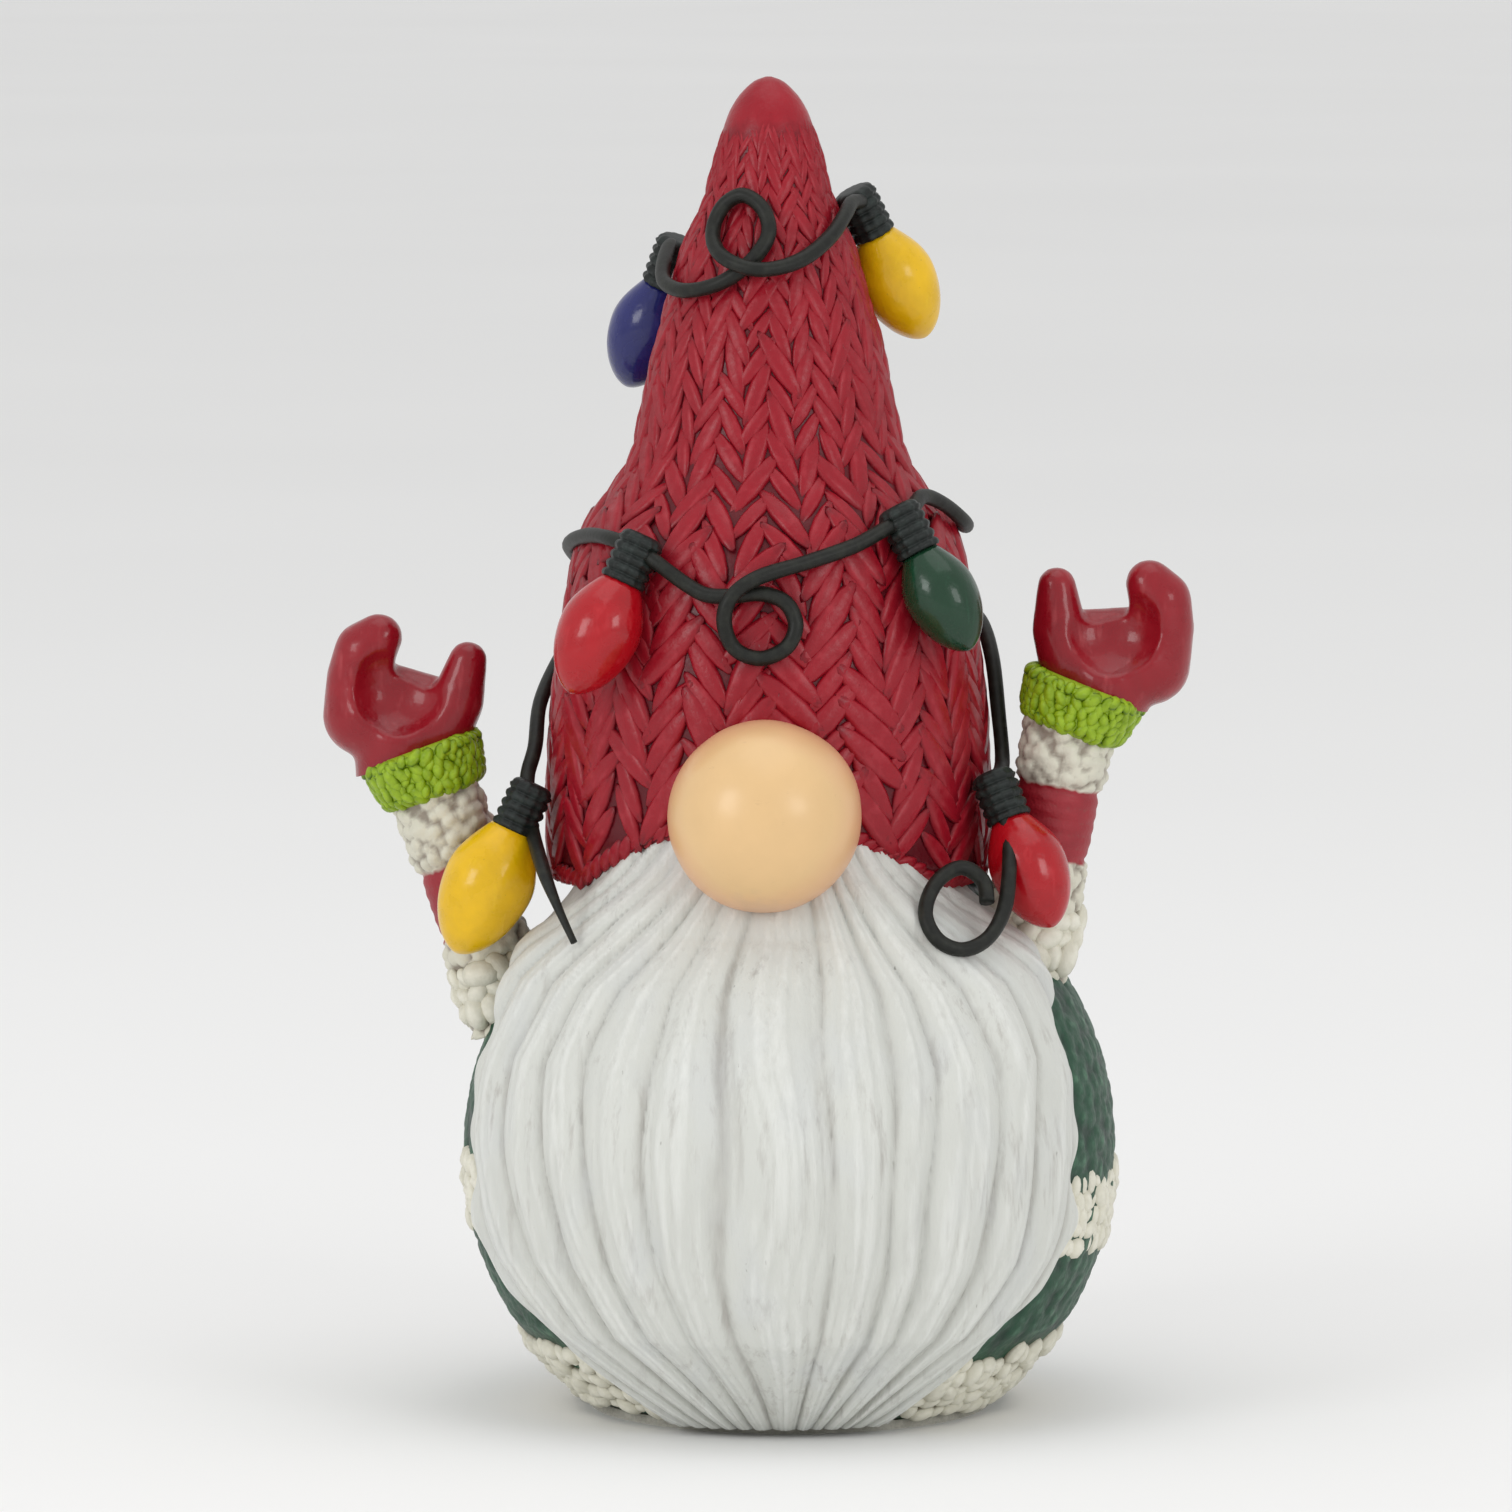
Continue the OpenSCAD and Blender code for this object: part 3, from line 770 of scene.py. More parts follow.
class GNOME_OT_hat(bpy.types.Operator):
    """Builds the knitted hat: a cone, its stitches and the rolled edge of its brim"""
    bl_idname = "gnome.hat"
    bl_label = "Hat"

    def execute(self, context):
        settings = context.scene.gnome
        # Near-black red painted shade in the hollows, lighter red painted highlight on the
        # stitches.
        material = cast_paint("Knit red", settings.colours.hat, (0.07, 0.002, 0.006),
                              (0.44, 0.04, 0.055), 0.5, 0.55, 0.36, 5.0, 0.7, 0.04)
        core = self.core(settings.sizes)
        unit = unit_lobe("stitch_unit", 6, 10, 1.7, 0.62, 0.42)
        wool = tufts("stitches", self.stitches(settings.sizes), unit, material, 12, 0.2, 11)
        roll = tufts("roll", self.rolled_edge(), unit, material, 4, 0.08, 5)
        bpy.data.objects.remove(unit)
        dress(merge("hat_knit", [core, wool, roll]), material, "hat_red", "hat")
        return {"FINISHED"}

    def core(self, sizes):
        cols, rows = 128, 60
        angles = turns(cols)
        share = np.sin(np.linspace(0, math.pi / 2, rows))[:, None]
        foot = brim_height(angles)[None, :]
        z = foot + (TIP_TOP - foot) * share
        tip = ease((z - 139) / 7)
        sunk = 0.75 * (1 - 0.85 * tip) * sizes.stitch_relief / MM
        r = np.maximum(soft_hat_radius(z) - sunk, 0.3)
        rings = joined(HAT_X + r * np.sin(angles), -r * np.cos(angles), z)
        under = rings[0].copy()
        under[:, 0] = HAT_X + (under[:, 0] - HAT_X) * 0.7
        under[:, 1] *= 0.7
        rings = np.concatenate([under[None] + np.array((0, 0, 1.5)), rings])
        relief = np.concatenate([np.zeros((1, cols)), 0.6 * tip * np.ones((1, cols))])
        return skin("hat_core", rings, relief)

    def stitches(self, sizes):
        halves = sizes.knit_columns * 2
        pitch, reach = sizes.stitch_pitch / MM, sizes.stitch_reach / MM
        relief = sizes.stitch_relief / MM
        for k in range(halves):
            angle = (k + 0.5) * 2 * math.pi / halves + math.radians(KNIT_TURN)
            lean = -1 if k % 2 == 0 else 1
            z = float(brim_height(angle)) + reach * 0.62
            while z < WOOL_TOP:
                r = float(soft_hat_radius(z))
                slope = float(soft_hat_radius(z + 0.5)) - float(soft_hat_radius(z - 0.5))
                round_way = np.array((math.cos(angle), math.sin(angle), 0))
                outward = np.array((math.sin(angle), -math.cos(angle), 0))
                up = to_unit(outward * slope + np.array((0, 0, 1)))
                normal = np.cross(round_way, up)
                half_wide = r * math.pi / halves
                tall = min(reach, 2.5 + r * 0.22)
                slant = math.atan2(half_wide * 1.9, tall)
                way = up * math.cos(slant) + round_way * (lean * math.sin(slant))
                step = min(pitch, 1.5 + 0.13 * r)
                wide = min(step * math.sin(slant) * 1.4, 2.6) + 0.25
                long = 1.3 * math.hypot(2 * half_wide, tall)
                surface = np.array((HAT_X, 0, z)) + outward * (r - 0.85 * relief)
                yield surface, normal, way, (wide, long, relief * min(1, 0.4 + r / 30) * 1.05)
                z += step

    def rolled_edge(self):
        """Strands laid side by side along the brim."""
        count = 96

        def edge(a):
            return np.array((HAT_X + BRIM_R * math.sin(a), -BRIM_R * math.cos(a),
                             float(brim_height(a)) + 0.7))

        for k in range(count):
            a = 2 * math.pi * (k + 0.5) / count
            here = edge(a)
            way = to_unit(edge(a + 0.02) - here)
            outward = np.array((math.sin(a), -math.cos(a), -0.25))
            outward = to_unit(outward - way * outward.dot(way))
            slanted = way * 0.8 + np.cross(outward, way) * 0.6
            yield here - outward * 0.35, outward, slanted, (1.6, 3.6, 1.15)


class GNOME_OT_body(bpy.types.Operator):
    """Builds the stippled green body with its raised cream bands"""
    bl_idname = "gnome.body"
    bl_label = "Body"

    def execute(self, context):
        colours = context.scene.gnome.colours
        # Dark green painted shade in the hollows; lighter green on the tops of the dabs, as stipple
        # and painted highlight.
        green = cast_paint("Stippled green", colours.body, (0.008, 0.028, 0.018),
                           (0.09, 0.22, 0.13), 0.5, 0.6, 0.5, 5.0, 0.6, 0.08)
        dress(self.ball(), green, "body_green", "body_shell")
        # Brown painted shade in the hollows, paler cream painted highlight on the tops of the
        # fluff.
        cream = cast_paint("Fluffy cream", colours.cream, (0.20, 0.17, 0.11),
                           (0.86, 0.84, 0.74), 0.45, 0.6, 0.55, 5.0, 0.6, 0.05)
        unit = unit_lobe("fluff_unit", 6, 8, 2.4, 0.5)
        dress(tufts("body_bands", self.bands(), unit, cream, 90, 0.3, 3), cream, "sleeve_striped")
        bpy.data.objects.remove(unit)
        return {"FINISHED"}

    def ball(self):
        cols, rows = 400, 190
        angles = turns(cols)
        foot = math.asin((FELT - BODY_Z) / BODY_R)
        head = math.asin((BODY_TOP - BODY_Z) / BODY_R)
        lat = np.linspace(foot, head, rows)[:, None]
        way = joined(np.cos(lat) * np.sin(angles), -np.cos(lat) * np.cos(angles), np.sin(lat))
        points = way * BODY_R
        dabs = pebbles(points, 2.1, 4)
        fine = soft_noise(points, 0.9, 8)
        lumps = soft_noise(points, 9, 2)
        deep = 0.5 - 0.5 * dabs - 0.08 * fine - 0.2 * lumps
        fade = ease((lat - foot) / 0.05)
        radius = BODY_R - 0.4 - np.clip(deep, 0, 1) * 0.75 * fade
        points = way * radius[..., None]
        points[..., 2] += BODY_Z
        points[..., :2] *= foot_share(points)[..., None]
        return skin("body_ball", points, np.clip(dabs * 0.9 + 0.1 * fine, 0, 1))

    def bands(self):
        """Fluff in two bands round the body and round the root of each arm."""
        chance = np.random.default_rng(21)
        rows = [(z, 116, 0.9, 3) for z in (20.2, 21.9, 23.6, 25.3, 27.0)]
        rows += [(z, count, 0.3, 5)
                 for z, count in ((1.5, 72), (2.9, 76), (4.4, 82), (5.8, 86), (7.0, 90))]
        for row, (z, count, sway, waves) in enumerate(rows):
            for k in range(count):
                angle = 2 * math.pi * (k + 0.5 * (row % 2)) / count
                high = z + sway * math.sin(waves * angle) + chance.normal() * 0.3
                r = math.sqrt(BODY_R ** 2 - (high - BODY_Z) ** 2)
                outward = (r * math.sin(angle), -r * math.cos(angle), high - BODY_Z)
                outward = np.array(outward) / BODY_R
                spot = outward * (BODY_R - 1.1) + np.array((0, 0, BODY_Z))
                spot[:2] *= foot_share(spot)
                way = np.cross(outward, (0, 0, 1)) + np.array((0, 0, 0.4)) * chance.normal()
                yield spot, outward, to_unit(way), self.tuft_size(2.35)
        for name, arm in ARMS.items():
            place = arm_place(*arm[:3])
            turn = place.to_3x3()
            up = np.array(turn @ Vector((0, 0, 1)))
            for row, down in enumerate(ARM_TRIM[name]):
                for k in range(14):
                    a = 2 * math.pi * (k + 0.5 * (row % 2)) / 14
                    outward = np.array(turn @ Vector((math.cos(a), math.sin(a), 0)))
                    spot = np.array(place @ Vector((0, 0, -down))) + outward * (SLEEVE_R - 0.5)
                    way = to_unit(up + 0.5 * chance.normal() * outward)
                    yield spot, outward, way, self.tuft_size(2.9)

    def tuft_size(self, wide):
        return wide, wide * 1.35, wide * 0.44


class GNOME_OT_beard(bpy.types.Operator):
    """Builds the beard: a shell on the front of the body with long flowing strands"""
    bl_idname = "gnome.beard"
    bl_label = "Beard"

    def execute(self, context):
        settings = context.scene.gnome
        material = beard_paint("Beard white", settings.colours.beard)
        dress(self.shell(settings.sizes), material, "beard_white", "beard")
        return {"FINISHED"}

    def strands(self, across, z):
        """Locks, strands and hairs, each from 0 to 1, at a place across the beard and up it."""
        bent = (across + 0.04 * soft_noise(joined(across * 4, z / 16, 0), 1.0, 3)
                + 0.012 * np.sin(z / 6 + across * 9))
        index = np.clip(np.searchsorted(LOCKS, bent) - 1, 0, len(LOCKS) - 2)
        share = np.clip((bent - LOCKS[index]) / (LOCKS[index + 1] - LOCKS[index]), 0, 1)
        main = np.sin(math.pi * share) ** 0.75
        cell = joined(index, 0, 0)
        main = main * (0.82 + 0.18 * hashed(cell, 6))
        lines = 2 + np.floor(2.6 * hashed(cell, 9)) + 2 * ((LOCKS[index + 1] - LOCKS[index]) > 0.2)
        swing = 0.18 * soft_noise(joined(index * 3.7, z / 9, across * 3), 1.0, 12)
        second = np.abs(np.sin(math.pi * lines * np.clip(share + swing, 0, 1))) ** 0.7
        hairs = soft_noise(joined(bent * 75, z / 11, 0), 1.0, 14)
        finer = soft_noise(joined(bent * 150, z / 6, 0), 1.0, 15)
        hairs = 0.6 * hairs + 0.4 * finer
        return main, second, hairs

    def shell(self, sizes):
        cols, rows = 330, 180
        s = np.linspace(-1, 1, cols)[None, :]
        v = np.linspace(0, 1, rows)[:, None]
        top = 60.0
        for _ in range(3):
            span = np.radians(table(BEARD_SPAN, np.full_like(s, top)))
            top = brim_height(s * span + BEARD_TURN) + 0.6
        z = top + (FELT - top) * v
        wave = (1 + 0.02 * np.sin(z / 2.6) * np.abs(s) ** 4
                + 0.014 * np.sin(z / 1.3 + 2) * np.abs(s) ** 6)
        swing = s * np.radians(table(BEARD_SPAN, z)) * wave * (1 + 0.07 * (s < 0) * s * s)
        angle = swing + BEARD_TURN
        way = joined(np.sin(angle), -np.cos(angle))
        reach = way @ BEARD_MID
        ball = BEARD_R ** 2 - (z - BEARD_Z) ** 2
        neck = np.interp(z, *zip(*BEARD_NECK)) ** 2
        squared = np.where(z > BEARD_NECK[0][0], np.maximum(neck, ball), ball)
        cone = FOOT_R - BEARD_MID[1] + FOOT_SLOPE * (z - FELT)
        squared = np.clip(squared, 1, cone ** 2)
        mid = BEARD_MID @ BEARD_MID
        outer = reach + np.sqrt(np.maximum(reach ** 2 - mid + squared, 1))
        brim_way = way @ np.array((HAT_X, 0))
        brim = brim_way + np.sqrt(brim_way ** 2 - HAT_X ** 2 + (BRIM_R + 0.1) ** 2)
        under = ease((top - z) / 7.5) ** 0.6
        outer = brim + (outer - brim) * under
        inner = np.sqrt(np.maximum((BODY_R - 1) ** 2 - (z - BODY_Z) ** 2, 19.5 ** 2))
        inner = np.minimum(np.minimum(inner, FOOT_R - 0.3 + FOOT_SLOPE * (z - FELT)), outer - 0.4)
        across = swing / np.radians(table(STRAND_SPAN, z))
        main, second, hairs = self.strands(across, z)
        depth = sizes.strand_relief / MM
        quiet = 0.4 + 0.6 * ease((top - z) / 14)
        height = (main - 1) * depth * quiet - (1 - second) * 0.22 * quiet + (hairs - 1) * 0.1
        edge = np.clip(1 - np.abs(s) ** 14, 0, 1) ** 0.5
        tuck = 0.9 * np.clip(1 - (z - FELT) / 2.2, 0, 1) ** 2
        face = inner + (outer + height - tuck - inner) * edge
        front = joined(face * way[..., 0], face * way[..., 1], z)
        back = joined(inner * way[..., 0], inner * way[..., 1], z)
        verts = np.concatenate([front.reshape(-1, 3), back.reshape(-1, 3)])
        half = rows * cols
        faces = sheet_faces(rows, cols, False) + sheet_faces(rows, cols, False, half, True)
        rim = ([(0, j) for j in range(cols)] + [(i, cols - 1) for i in range(1, rows)]
               + [(rows - 1, j) for j in range(cols - 2, -1, -1)]
               + [(i, 0) for i in range(rows - 2, 0, -1)])
        ring = [i * cols + j for i, j in rim]
        for a, b in zip(ring, ring[1:] + ring[:1]):
            faces.append((b, a, a + half, b + half))
        relief = np.clip(0.58 * main + 0.24 * second + 0.18 + 0.2 * hairs, 0, 1)
        relief = np.concatenate([relief.ravel(), np.zeros(half)])
        piece = new_piece("beard_strands", verts, faces, relief)
        tidy_normals(piece)
        return piece


class GNOME_OT_nose(bpy.types.Operator):
    """Builds the ball nose"""
    bl_idname = "gnome.nose"
    bl_label = "Nose"

    def execute(self, context):
        rows, cols = 70, 96
        lat = np.linspace(-math.pi / 2, math.pi / 2, rows + 2)[1:-1, None]
        lon = turns(cols)
        way = joined(np.cos(lat) * np.cos(lon), np.cos(lat) * np.sin(lon), np.sin(lat))
        dents = soft_noise(way * 10, 6, 1) * 0.12 + soft_noise(way * 10, 2.2, 2) * 0.04
        rings = way * (NOSE_R - 0.16 + dents[..., None])
        rings[..., 2] *= 0.985
        rings += np.array(NOSE_AT)
        rings[..., 1] = np.minimum(rings[..., 1], NOSE_BACK)
        peach = nose_paint("Nose peach", context.scene.gnome.colours.nose)
        dress(skin("nose_ball", rings, np.ones(rings.shape[:2])), peach, "nose_peach", "nose")
        return {"FINISHED"}


class GNOME_OT_arms(bpy.types.Operator):
    """Builds the sleeves, the cuffs and the mittens"""
    bl_idname = "gnome.arms"
    bl_label = "Arms"

    def execute(self, context):
        colours = context.scene.gnome.colours
        # Dark green painted shade in the hollows, yellow-lime painted highlight on the knots.
        lime = cast_paint("Lime fluff", colours.cuff, (0.05, 0.12, 0.004), (0.38, 0.56, 0.03),
                          0.5, 0.6, 0.42, 3.0, 0.6, 0.1)
        # Pinkish red streaks on the mittens: brush marks and painted highlight.
        red = gloss_paint("Mitten red", colours.mitten, (0.55, 0.10, 0.11), 0.26, 0.3)
        fluff = unit_lobe("lime_unit", 6, 8, 2.2, 0.5)
        for name, arm in ARMS.items():
            stripes = sleeve_paint(name.capitalize() + " sleeve stripes", name, colours.cream,
                                   colours.hat)
            dress(self.sleeve(name, arm), stripes, "sleeve_striped", name + "_sleeve")
            band = self.cuff(name, arm)
            knobs = tufts(name + "_cuff_fluff", self.fluff(arm), fluff, lime, 50, 0.25, 9)
            dress(merge(name + "_cuff_fluffy", [band, knobs]), lime, "cuff_lime", name + "_cuff")
            dress(self.mitten(name, arm), red, "mitten_red", name + "_mitten")
        bpy.data.objects.remove(fluff)
        return {"FINISHED"}

    def sleeve(self, name, arm):
        length = SLEEVE_LENGTH[name]

        def knobbly(rings):
            down = -rings[..., 2]
            top, low = SLEEVE_RED[name]
            red = ease((down - top + 0.4) / 0.8) * (1 - ease((down - low + 0.4) / 0.8))
            knobs = pebbles(rings * np.array((1, 1, 1.1)), 1.6, 17)
            ribs = 0.5 + 0.5 * np.sin(rings[..., 2] * 4.2)
            relief = knobs * (1 - red) + (0.55 + 0.45 * ribs) * red
            swell = 0.35 * (np.exp(-(down - top) ** 2) + np.exp(-(down - low) ** 2))
            grow = (-0.55 + 0.75 * knobs * (1 - red) + 0.1 * ribs * red - swell) / SLEEVE_R
            rings = rings.copy()
            rings[..., :2] *= 1 + grow[..., None]
            return rings, relief

        outline = [(SLEEVE_R, z) for z in np.linspace(-length, 1.5, 96)]
        return lathe(name + "_sleeve_knit", outline, 72, arm_place(*arm[:3]), knobbly)

    def cuff(self, name, arm):
        outline = [(1.5, 0.1), (4.6, 0.1)]
        outline += [(self.flare(z) - 0.45, z) for z in np.linspace(0.25, CUFF_H - 0.35, 20)]
        outline += [(CUFF_R - 1.6, CUFF_H), (1.5, CUFF_H)]
        return lathe(name + "_cuff_band", outline, 64, arm_place(arm[0], arm[1], CUFF_LEAN))

    def flare(self, z):
        """Radius of the cup-shaped cuff, wider towards the hand and round at both edges."""
        middle = 5.9 + (CUFF_R - 5.9) * (z / CUFF_H) ** 0.8
        lip = max(1.0 - z, z - CUFF_H + 1.0, 0)
        return middle - 0.9 * lip ** 2

    def fluff(self, arm):
        """Small knots in rings round the cuff and over its edges."""
        place = arm_place(arm[0], arm[1], CUFF_LEAN)
        turn = place.to_3x3()
        chance = np.random.default_rng(31)
        for row, z in enumerate(np.linspace(0.35, CUFF_H - 0.3, 7)):
            r = self.flare(z)
            steep = math.atan2(self.flare(z - 0.3) - self.flare(z + 0.3), 0.6)
            count = int(2 * math.pi * r / 1.3)
            for k in range(count):
                a = 2 * math.pi * (k + 0.5 * (row % 2) + 0.2 * chance.normal()) / count
                across, up = math.cos(steep), math.sin(steep)
                outward = Vector((math.cos(a) * across, math.sin(a) * across, up))
                spot = Vector((r * math.cos(a), r * math.sin(a), z)) - outward * 0.55
                way = Vector((-math.cos(a) * up, -math.sin(a) * up, across))
                wide = 1.35 + 0.15 * chance.normal()
                yield place @ spot, turn @ outward, turn @ way, (wide, wide * 1.45, 0.62)

    def mitten(self, name, arm):
        """Balls melted into one hand, with a hollow palm, cut flat inside the cuff."""
        side, foot, _, middle, turn = arm
        piece = self.hand(name, side)
        bowl = self.ball("bowl", 4, (side * 0.2, -6.3, 2.0), (6.2, 5.6, 5.7))
        for label, kind, settings in (
                ("Melt", "REMESH", {"mode": "VOXEL", "voxel_size": 0.34}),
                ("Bowl", "BOOLEAN", {"operation": "DIFFERENCE", "solver": "EXACT", "object": bowl}),
                ("Even", "REMESH", {"mode": "VOXEL", "voxel_size": 0.3}),
                ("Soft", "SMOOTH", {"factor": 0.6, "iterations": 14})):
            modifier = piece.modifiers.new(label, kind)
            for key, value in settings.items():
                setattr(modifier, key, value)
        graph = bpy.context.evaluated_depsgraph_get()
        done = bpy.data.meshes.new_from_object(piece.evaluated_get(graph), depsgraph=graph)
        piece.modifiers.clear()
        piece.data = done
        bpy.data.objects.remove(bowl)
        done.transform(Matrix.Translation(middle) @ Matrix.Rotation(math.radians(turn), 4, "Y"))
        self.cut_wrist(done, arm_place(side, foot, CUFF_LEAN))
        done.transform(Matrix.Scale(MM, 4))
        done.polygons.foreach_set("use_smooth", [True] * len(done.polygons))
        return piece

    def ball(self, name, fineness, middle, radii):
        work = bmesh.new()
        self.add_ball(work, fineness, middle, radii)
        return self.finished(name, work)

    def finished(self, name, work):
        mesh = bpy.data.meshes.new(name)
        work.to_mesh(mesh)
        work.free()
        return show(name, mesh)

    def add_ball(self, work, fineness, middle, radii):
        made = bmesh.ops.create_icosphere(work, subdivisions=fineness, radius=1)
        place = Matrix.Translation(middle) @ Matrix.Diagonal((*radii, 1))
        bmesh.ops.transform(work, matrix=place, verts=made["verts"])

    def hand(self, name, side):
        """Rows of balls along the wrist, palm, fingers, thumb and the lip of the palm."""
        work = bmesh.new()
        for stops in HAND:
            for start, end in zip(stops, stops[1:]):
                for t in np.linspace(0, 1, 7):
                    x, y, z, r = (a + (b - a) * t for a, b in zip(start, end))
                    self.add_ball(work, 3, (side * x, y, z), (r, r, r))
        return self.finished(name + "_mitten_cast", work)

    def cut_wrist(self, mesh, wrist):
        """Cuts the hand off inside the cuff and closes it with a flat face."""
        work = bmesh.new()
        work.from_mesh(mesh)
        everything = work.verts[:] + work.edges[:] + work.faces[:]
        cut = bmesh.ops.bisect_plane(
            work, geom=everything, dist=0.001, clear_inner=True,
            plane_co=wrist @ Vector((0, 0, CUFF_H - 0.8)),
            plane_no=wrist.to_3x3() @ Vector((0, 0, 1)))
        open_edges = [e for e in cut["geom_cut"] if isinstance(e, bmesh.types.BMEdge)]
        bmesh.ops.contextual_create(work, geom=open_edges)
        bmesh.ops.recalc_face_normals(work, faces=work.faces)
        work.to_mesh(mesh)
        work.free()


class GNOME_OT_lights(bpy.types.Operator):
    """Builds the wire, the ribbed sockets and the painted bulbs"""
    bl_idname = "gnome.lights"
    bl_label = "String of bulbs"

    def execute(self, context):
        colours = context.scene.gnome.colours
        paints = {name: gloss_paint("Bulb " + name, getattr(colours, "bulb_" + name), *look)
                  for name, look in BULB_LOOKS.items()}
        # Black sockets with a painted greenish-grey highlight.
        black = dark_resin("Socket black", (0.006, 0.009, 0.008), (0.035, 0.05, 0.045), 0.38)
        for name, light in LIGHTS.items():
            dress(self.bulb(name, light), paints[light[6]], "bulb_" + light[6], "bulb_" + name)
            dress(self.socket(name, light), black, "socket_black", "socket_" + name)
        # Black wire coating with a painted grey highlight.
        coating = dark_resin("Wire coating", (0.006, 0.007, 0.005), (0.03, 0.033, 0.024), 0.42)
        dress(self.wire(), coating, "wire_black", "light_wire")
        return {"FINISHED"}

    def bulb(self, name, light):
        size = light[5]
        r, h = size * BULB_D / 2, size * BULB_H
        outline = []
        for t in np.sin(np.linspace(0, math.pi / 2, 40)):
            low = (t - BULB_SHOULDER) / (1 - BULB_SHOULDER)
            if t < BULB_SHOULDER:
                wide = BULB_NECK + (1 - BULB_NECK) * math.sin(math.pi / 2 * t / BULB_SHOULDER)
            else:
                wide = max(1 - low * low, 0) ** 0.6
            outline.append((max(r * wide, 0.02), -h * t))

        def hand_cast(rings):
            lumps = soft_noise(rings + 40 * light[0], 5, 3) * 0.02
            rings = rings * (1 + lumps[..., None] * np.array((1, 1, 0)))
            return rings, np.ones(rings.shape[:2])

        place = light_place(light) @ Matrix.Translation((0, 0, SOCKET_TOP - SOCKET_H))
        return lathe("bulb_" + name + "_glossy", outline, 56, place, hand_cast)

    def socket(self, name, light):
        outline = [(0.4, 0.15)]
        for a in np.linspace(0, math.pi / 2, 8):
            outline.append((SOCKET_D / 2 - 1.1 + 0.9 * math.sin(a), -0.6 + 0.75 * math.cos(a)))
        for z in np.linspace(-0.8, -SOCKET_H, 44):
            rib = abs(math.sin(math.pi * (z + 0.2) / 1.12)) ** 0.7
            outline.append((SOCKET_D / 2 - 0.4 + 0.4 * rib, z))
        outline.append((0.4, -SOCKET_H))

        def fluted(rings):
            angle = np.arctan2(rings[..., 1], rings[..., 0])
            flutes = 0.06 * np.cos(angle * 12)
            grown = rings * (1 + flutes[..., None] * np.array((1, 1, 0)) * 0.6)
            return grown, np.ones(rings.shape[:2])

        place = light_place(light) @ Matrix.Translation((0, 0, SOCKET_TOP))
        return lathe("socket_" + name + "_ribbed", outline, 48, place, fluted)

    def wire(self):
        stops = [np.array(p, dtype=float) for p in reversed(CURL_END)]
        stops += [on_hat(stop) for stop in (LIGHTS["low_right"], *ROUTE)]
        stops.append(on_hat(LIGHTS["low_left"]) + np.array(TAIL_FROM_SOCKET))
        stops += [np.array(p, dtype=float) for p in TAIL_END]
        path = smooth_route(stops, 6)
        ways = np.gradient(path, axis=0)
        ways /= np.linalg.norm(ways, axis=1)[:, None]
        side = np.cross(ways[0], (0, 0, 1))
        sides = []
        for way in ways:
            side = to_unit(side - way * side.dot(way))
            sides.append(side)
        sides = np.array(sides)
        others = np.cross(ways, sides)
        angles = turns(14)
        left = np.arange(len(path))[::-1] / 16
        taper = 0.45 + 0.55 * ease(left)
        thick = (WIRE_R * taper * (1 + 0.05 * soft_noise(path, 5, 4)))[:, None, None]
        rings = (path[:, None, :] + thick * (np.cos(angles)[None, :, None] * sides[:, None, :]
                                             + np.sin(angles)[None, :, None] * others[:, None, :]))
        return skin("wire_coated", rings, np.ones(rings.shape[:2]))


class GNOME_OT_hidden(bpy.types.Operator):
    """Finishes the pieces that keep their modelled shape: felt, plug, rods and dowel"""
    bl_idname = "gnome.hidden"
    bl_label = "Felt, plug, rods and dowel"

    def execute(self, context):
        felt = fibre("Pale felt", (0.42, 0.41, 0.36), 0.9, 0.5)
        plug = fibre("Grey stopper", (0.05, 0.05, 0.05), 0.6, 1.2)
        steel = plain_metal("Drawn steel", (0.45, 0.46, 0.47))
        wood = wood_grain("Birch dowel", (0.58, 0.42, 0.25))
        kept = {"base_felt": felt, "base_plug": plug, "left_arm_rod": steel,
                "right_arm_rod": steel, "nose_dowel": wood}
        for node, material in kept.items():
            for slot in bpy.data.objects[node].material_slots:
                slot.material = material
        return {"FINISHED"}


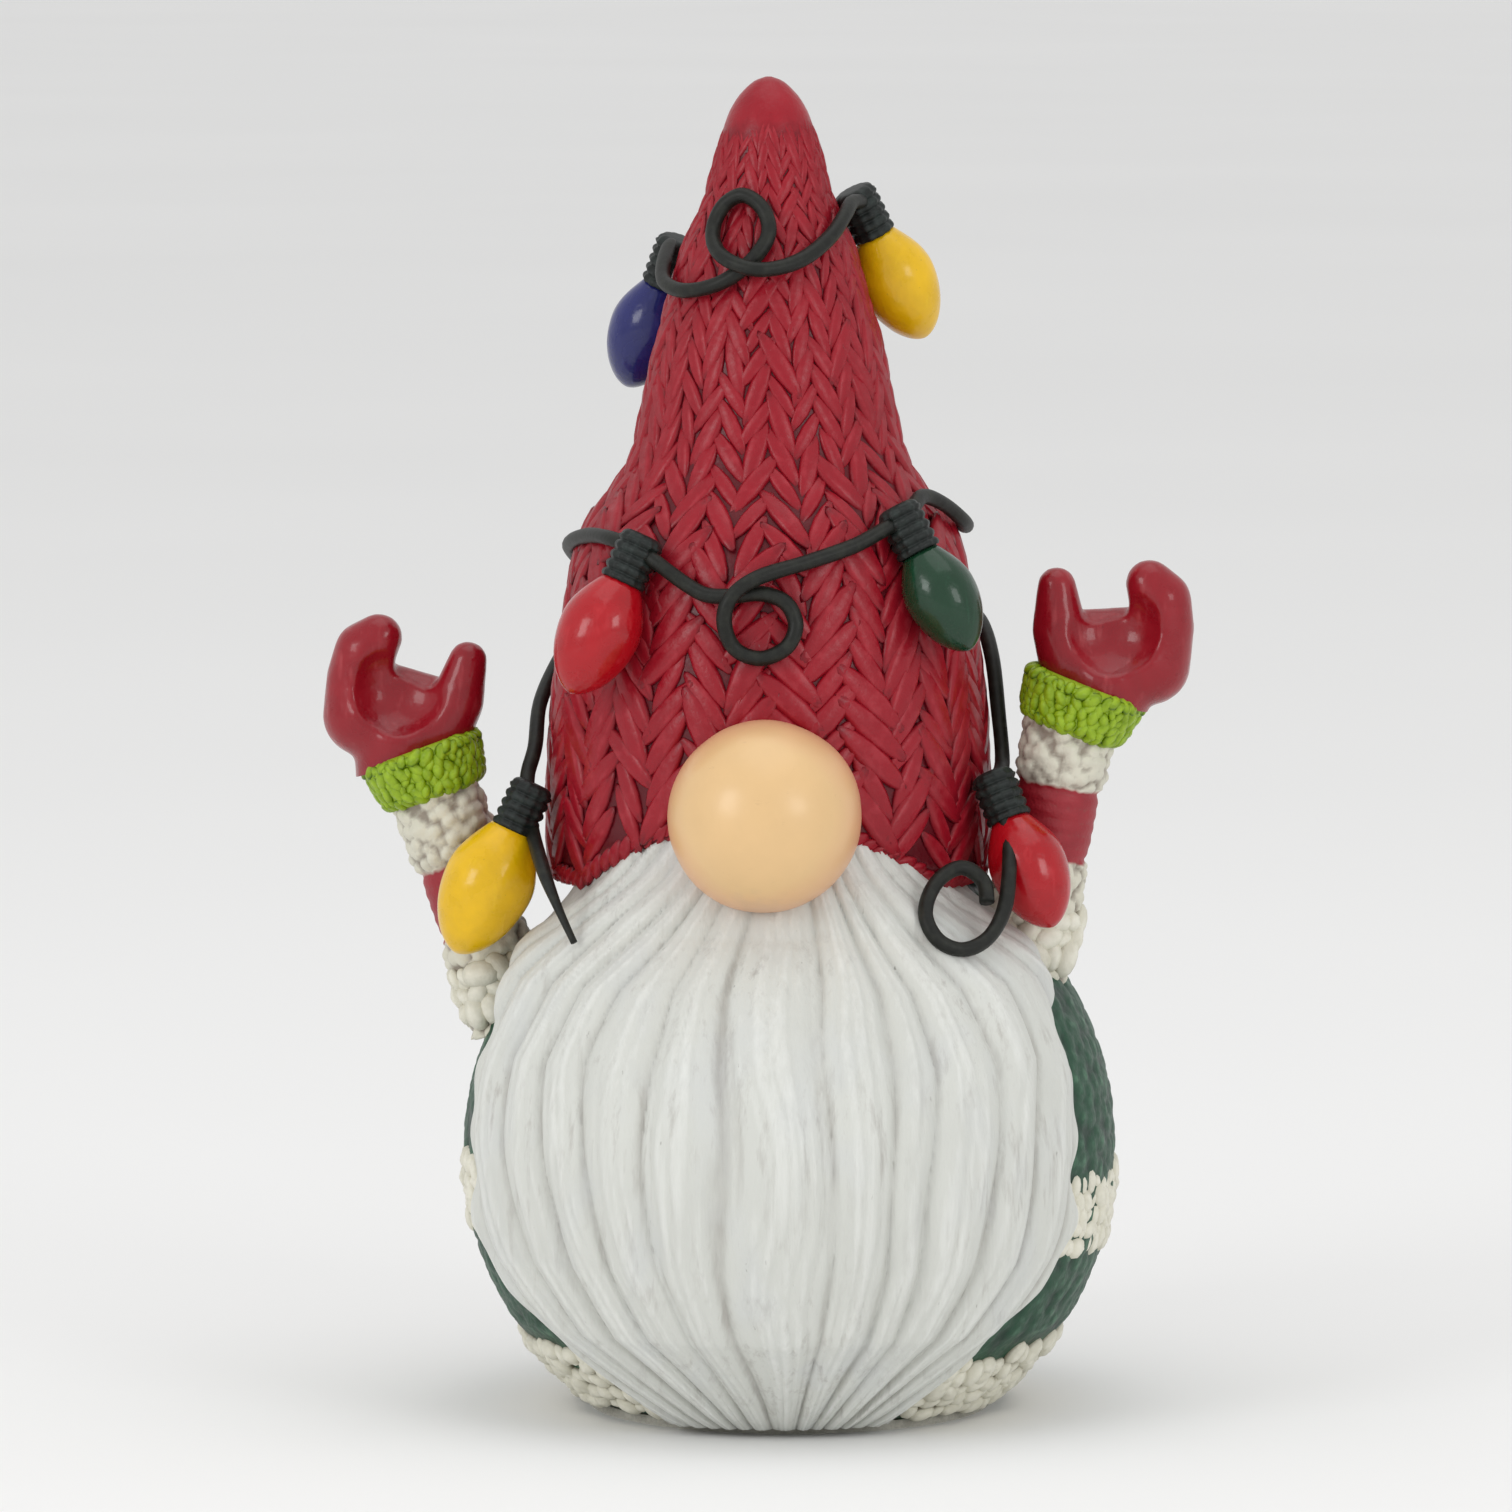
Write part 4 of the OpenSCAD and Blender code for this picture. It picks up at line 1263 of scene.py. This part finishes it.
class GNOME_OT_stage(bpy.types.Operator):
    """Sets up the pale floor, the soft lights and the camera"""
    bl_idname = "gnome.stage"
    bl_label = "Studio"

    def execute(self, context):
        self.floor()
        self.light("left box", (-0.62, -0.72, 0.42), 0.36, 1.9)
        self.light("right box", (0.68, -0.66, 0.38), 0.32, 1.3)
        self.light("top box", (0.05, -0.05, 1.0), 0.8, 1.6)
        world = bpy.data.worlds.new("Studio")
        world.use_nodes = True
        sky = world.node_tree.nodes["Background"].inputs
        sky["Color"].default_value = (1, 1, 1, 1)
        sky["Strength"].default_value = 0.8
        context.scene.world = world
        context.scene.view_settings.view_transform = "Standard"
        self.camera(context)
        return {"FINISHED"}

    def floor(self):
        wide = 20000
        floor = new_piece("studio_floor", [(-wide, -wide, 0), (wide, -wide, 0), (wide, wide, 0),
                                           (-wide, wide, 0)], [(0, 1, 2, 3)])
        paint = Paint("Pale floor")
        tone = paint.noise(300.0, 2.0)
        floor.data.materials.append(paint.finish(
            paint.mix(tone, (0.86, 0.86, 0.855, 1), (0.90, 0.90, 0.895, 1)), 0.9, specular=0.2))

    def light(self, name, at, size, power):
        data = bpy.data.lights.new(name, "AREA")
        data.size = size
        data.energy = power
        lamp = show(name, data)
        lamp.location = at
        aim = Vector((0, 0, 0.07)) - Vector(at)
        lamp.rotation_euler = aim.to_track_quat("-Z", "Y").to_euler()

    def camera(self, context):
        data = bpy.data.cameras.new("camera")
        data.lens = 250
        camera = show("camera", data)
        azimuth, elevation, distance = math.radians(5), math.radians(6), 1.172
        back = Vector((math.sin(azimuth) * math.cos(elevation),
                       -math.cos(azimuth) * math.cos(elevation), math.sin(elevation)))
        target = Vector((-0.0038, 0, 0.0727))
        camera.location = target + back * distance
        camera.rotation_euler = (-back).to_track_quat("-Z", "Y").to_euler()
        context.scene.camera = camera


class GNOME_PT_panel(bpy.types.Panel):
    """Lists the gnome's settings and pieces"""
    bl_idname = "GNOME_PT_panel"
    bl_label = "Garden Gnome"
    bl_space_type = "VIEW_3D"
    bl_region_type = "UI"
    bl_category = "Gnome"

    def draw(self, context):
        settings = context.scene.gnome
        for group in (settings.sizes, settings.colours):
            box = self.layout.box()
            for name in group.__annotations__:
                box.prop(group, name)
        for operator in PIECES:
            self.layout.operator(operator.bl_idname)


PIECES = (GNOME_OT_stage, GNOME_OT_hat, GNOME_OT_body, GNOME_OT_beard, GNOME_OT_nose,
          GNOME_OT_arms, GNOME_OT_lights, GNOME_OT_hidden)
CLASSES = (GnomeColours, GnomeSizes, GnomeSettings, *PIECES, GNOME_PT_panel)


def register():
    for made in CLASSES:
        bpy.utils.register_class(made)
    bpy.types.Scene.gnome = PointerProperty(type=GnomeSettings, name="Gnome",
                                            description="Settings of the garden gnome")


def unregister():
    del bpy.types.Scene.gnome
    for made in reversed(CLASSES):
        bpy.utils.unregister_class(made)


def main():
    register()
    for piece in PIECES:
        group, name = piece.bl_idname.split(".")
        getattr(getattr(bpy.ops, group), name)()
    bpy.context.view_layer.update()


if __name__ == "__main__":
    main()
